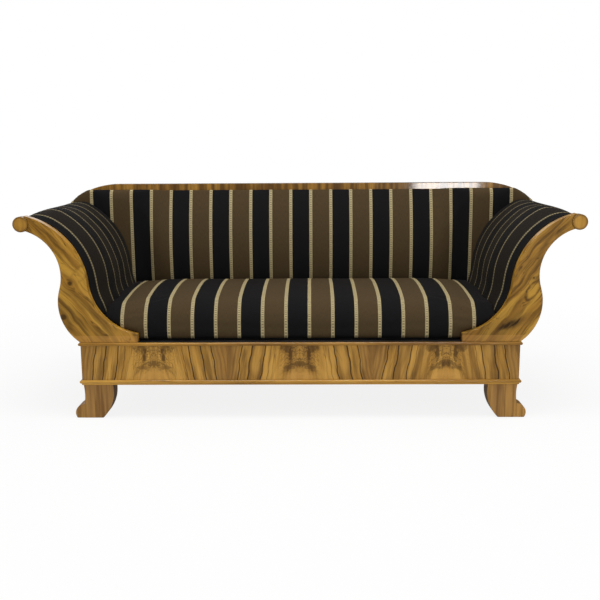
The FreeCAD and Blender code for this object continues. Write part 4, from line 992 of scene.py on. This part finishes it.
DIM_ROOM, WHITE = 0.06, (1, 1, 1, 1)
floor_finish = bpy.data.materials.new("studio_floor")
floor_finish.use_nodes = True
tree = floor_finish.node_tree
x, y, z = lengths(tree)
flat_place = add(tree, "CombineXYZ", {0: x, 1: y}).outputs[0]
distance = add(tree, "VectorMath", {0: flat_place}, operation="LENGTH").outputs["Value"]
share = times(tree, ease(tree, distance, 0.6, 3.0, 0.86, 1.0), seen_directly(tree))
matt = add(tree, "BsdfDiffuse", {"Color": (0.8, 0.8, 0.8, 1)})
bright = calc(tree, "MAXIMUM", ease(tree, y, -1.4, -0.2, DIM_ROOM, 0.12), not_mirrored(tree))
white = add(tree, "Emission", {"Color": WHITE, "Strength": bright})
both = add(tree, "MixShader", {0: share, 1: matt.outputs[0], 2: white.outputs[0]})
tree.links.new(both.outputs[0], tree.nodes["Material Output"].inputs["Surface"])
mesh = bmesh.new()
bmesh.ops.create_grid(mesh, x_segments=8, y_segments=8, size=30.0)
data = bpy.data.meshes.new("studio_floor")
mesh.to_mesh(data)
mesh.free()
data.materials.append(floor_finish)
floor = bpy.data.objects.new("studio_floor", data)
bpy.context.scene.collection.objects.link(floor)

surround = bpy.data.worlds.new("studio_surround")
surround.use_nodes = True
bpy.context.scene.world = surround
tree = surround.node_tree
soft = add(tree, "Background", {"Color": WHITE, "Strength": 0.68})
aside, back, up = add(tree, "SeparateXYZ", {0: add(tree, "TexCoord").outputs["Generated"]}).outputs
backdrop = times(tree, ease(tree, aside, 0.12, -0.06, 0.12, 1.0), ease(tree, up, 0.08, 0.2))
backdrop = times(tree, backdrop, ease(tree, back, 0.4, 0.8))
bright = calc(tree, "MAXIMUM", calc(tree, "MAXIMUM", backdrop, DIM_ROOM), not_mirrored(tree))
white = add(tree, "Background", {"Color": WHITE, "Strength": bright})
both = add(tree, "MixShader", {0: seen_directly(tree), 1: soft.outputs[0], 2: white.outputs[0]})
tree.links.new(both.outputs[0], tree.nodes["World Output"].inputs["Surface"])


def soft_light(name, place, target, size, power):
    lamp = bpy.data.lights.new(name, "AREA")
    lamp.shape = "RECTANGLE"
    lamp.size, lamp.size_y = size
    lamp.energy = power
    holder = bpy.data.objects.new(name, lamp)
    aim = Vector(target) - Vector(place)
    holder.matrix_world = Matrix.Translation(place) @ aim.to_track_quat("-Z", "Y").to_matrix().to_4x4()
    bpy.context.scene.collection.objects.link(holder)


soft_light("overhead", (0, -0.75, 3.2), (0, -0.1, 0.4), (2.4, 1.2), 64.0)
soft_light("window", (1.466, -4.7, 0.66), (0.66, 0.3, 0.88), (0.66, 0.26), 11.0)

CAMERA_PLACE = (0.0466, -3.55795, 1.0590)
CAMERA_TURN, CAMERA_PITCH, CAMERA_ROLL = 0.01382, 0.18079, -0.00583
camera = bpy.data.cameras.new("camera")
camera.lens = 50
camera.sensor_width = 36
holder = bpy.data.objects.new("camera", camera)
holder.matrix_world = (Matrix.Translation(CAMERA_PLACE) @ Matrix.Rotation(CAMERA_TURN, 4, "Z")
                       @ Matrix.Rotation(pi / 2 - CAMERA_PITCH, 4, "X") @ Matrix.Rotation(CAMERA_ROLL, 4, "Z"))
bpy.context.scene.collection.objects.link(holder)
bpy.context.scene.camera = holder
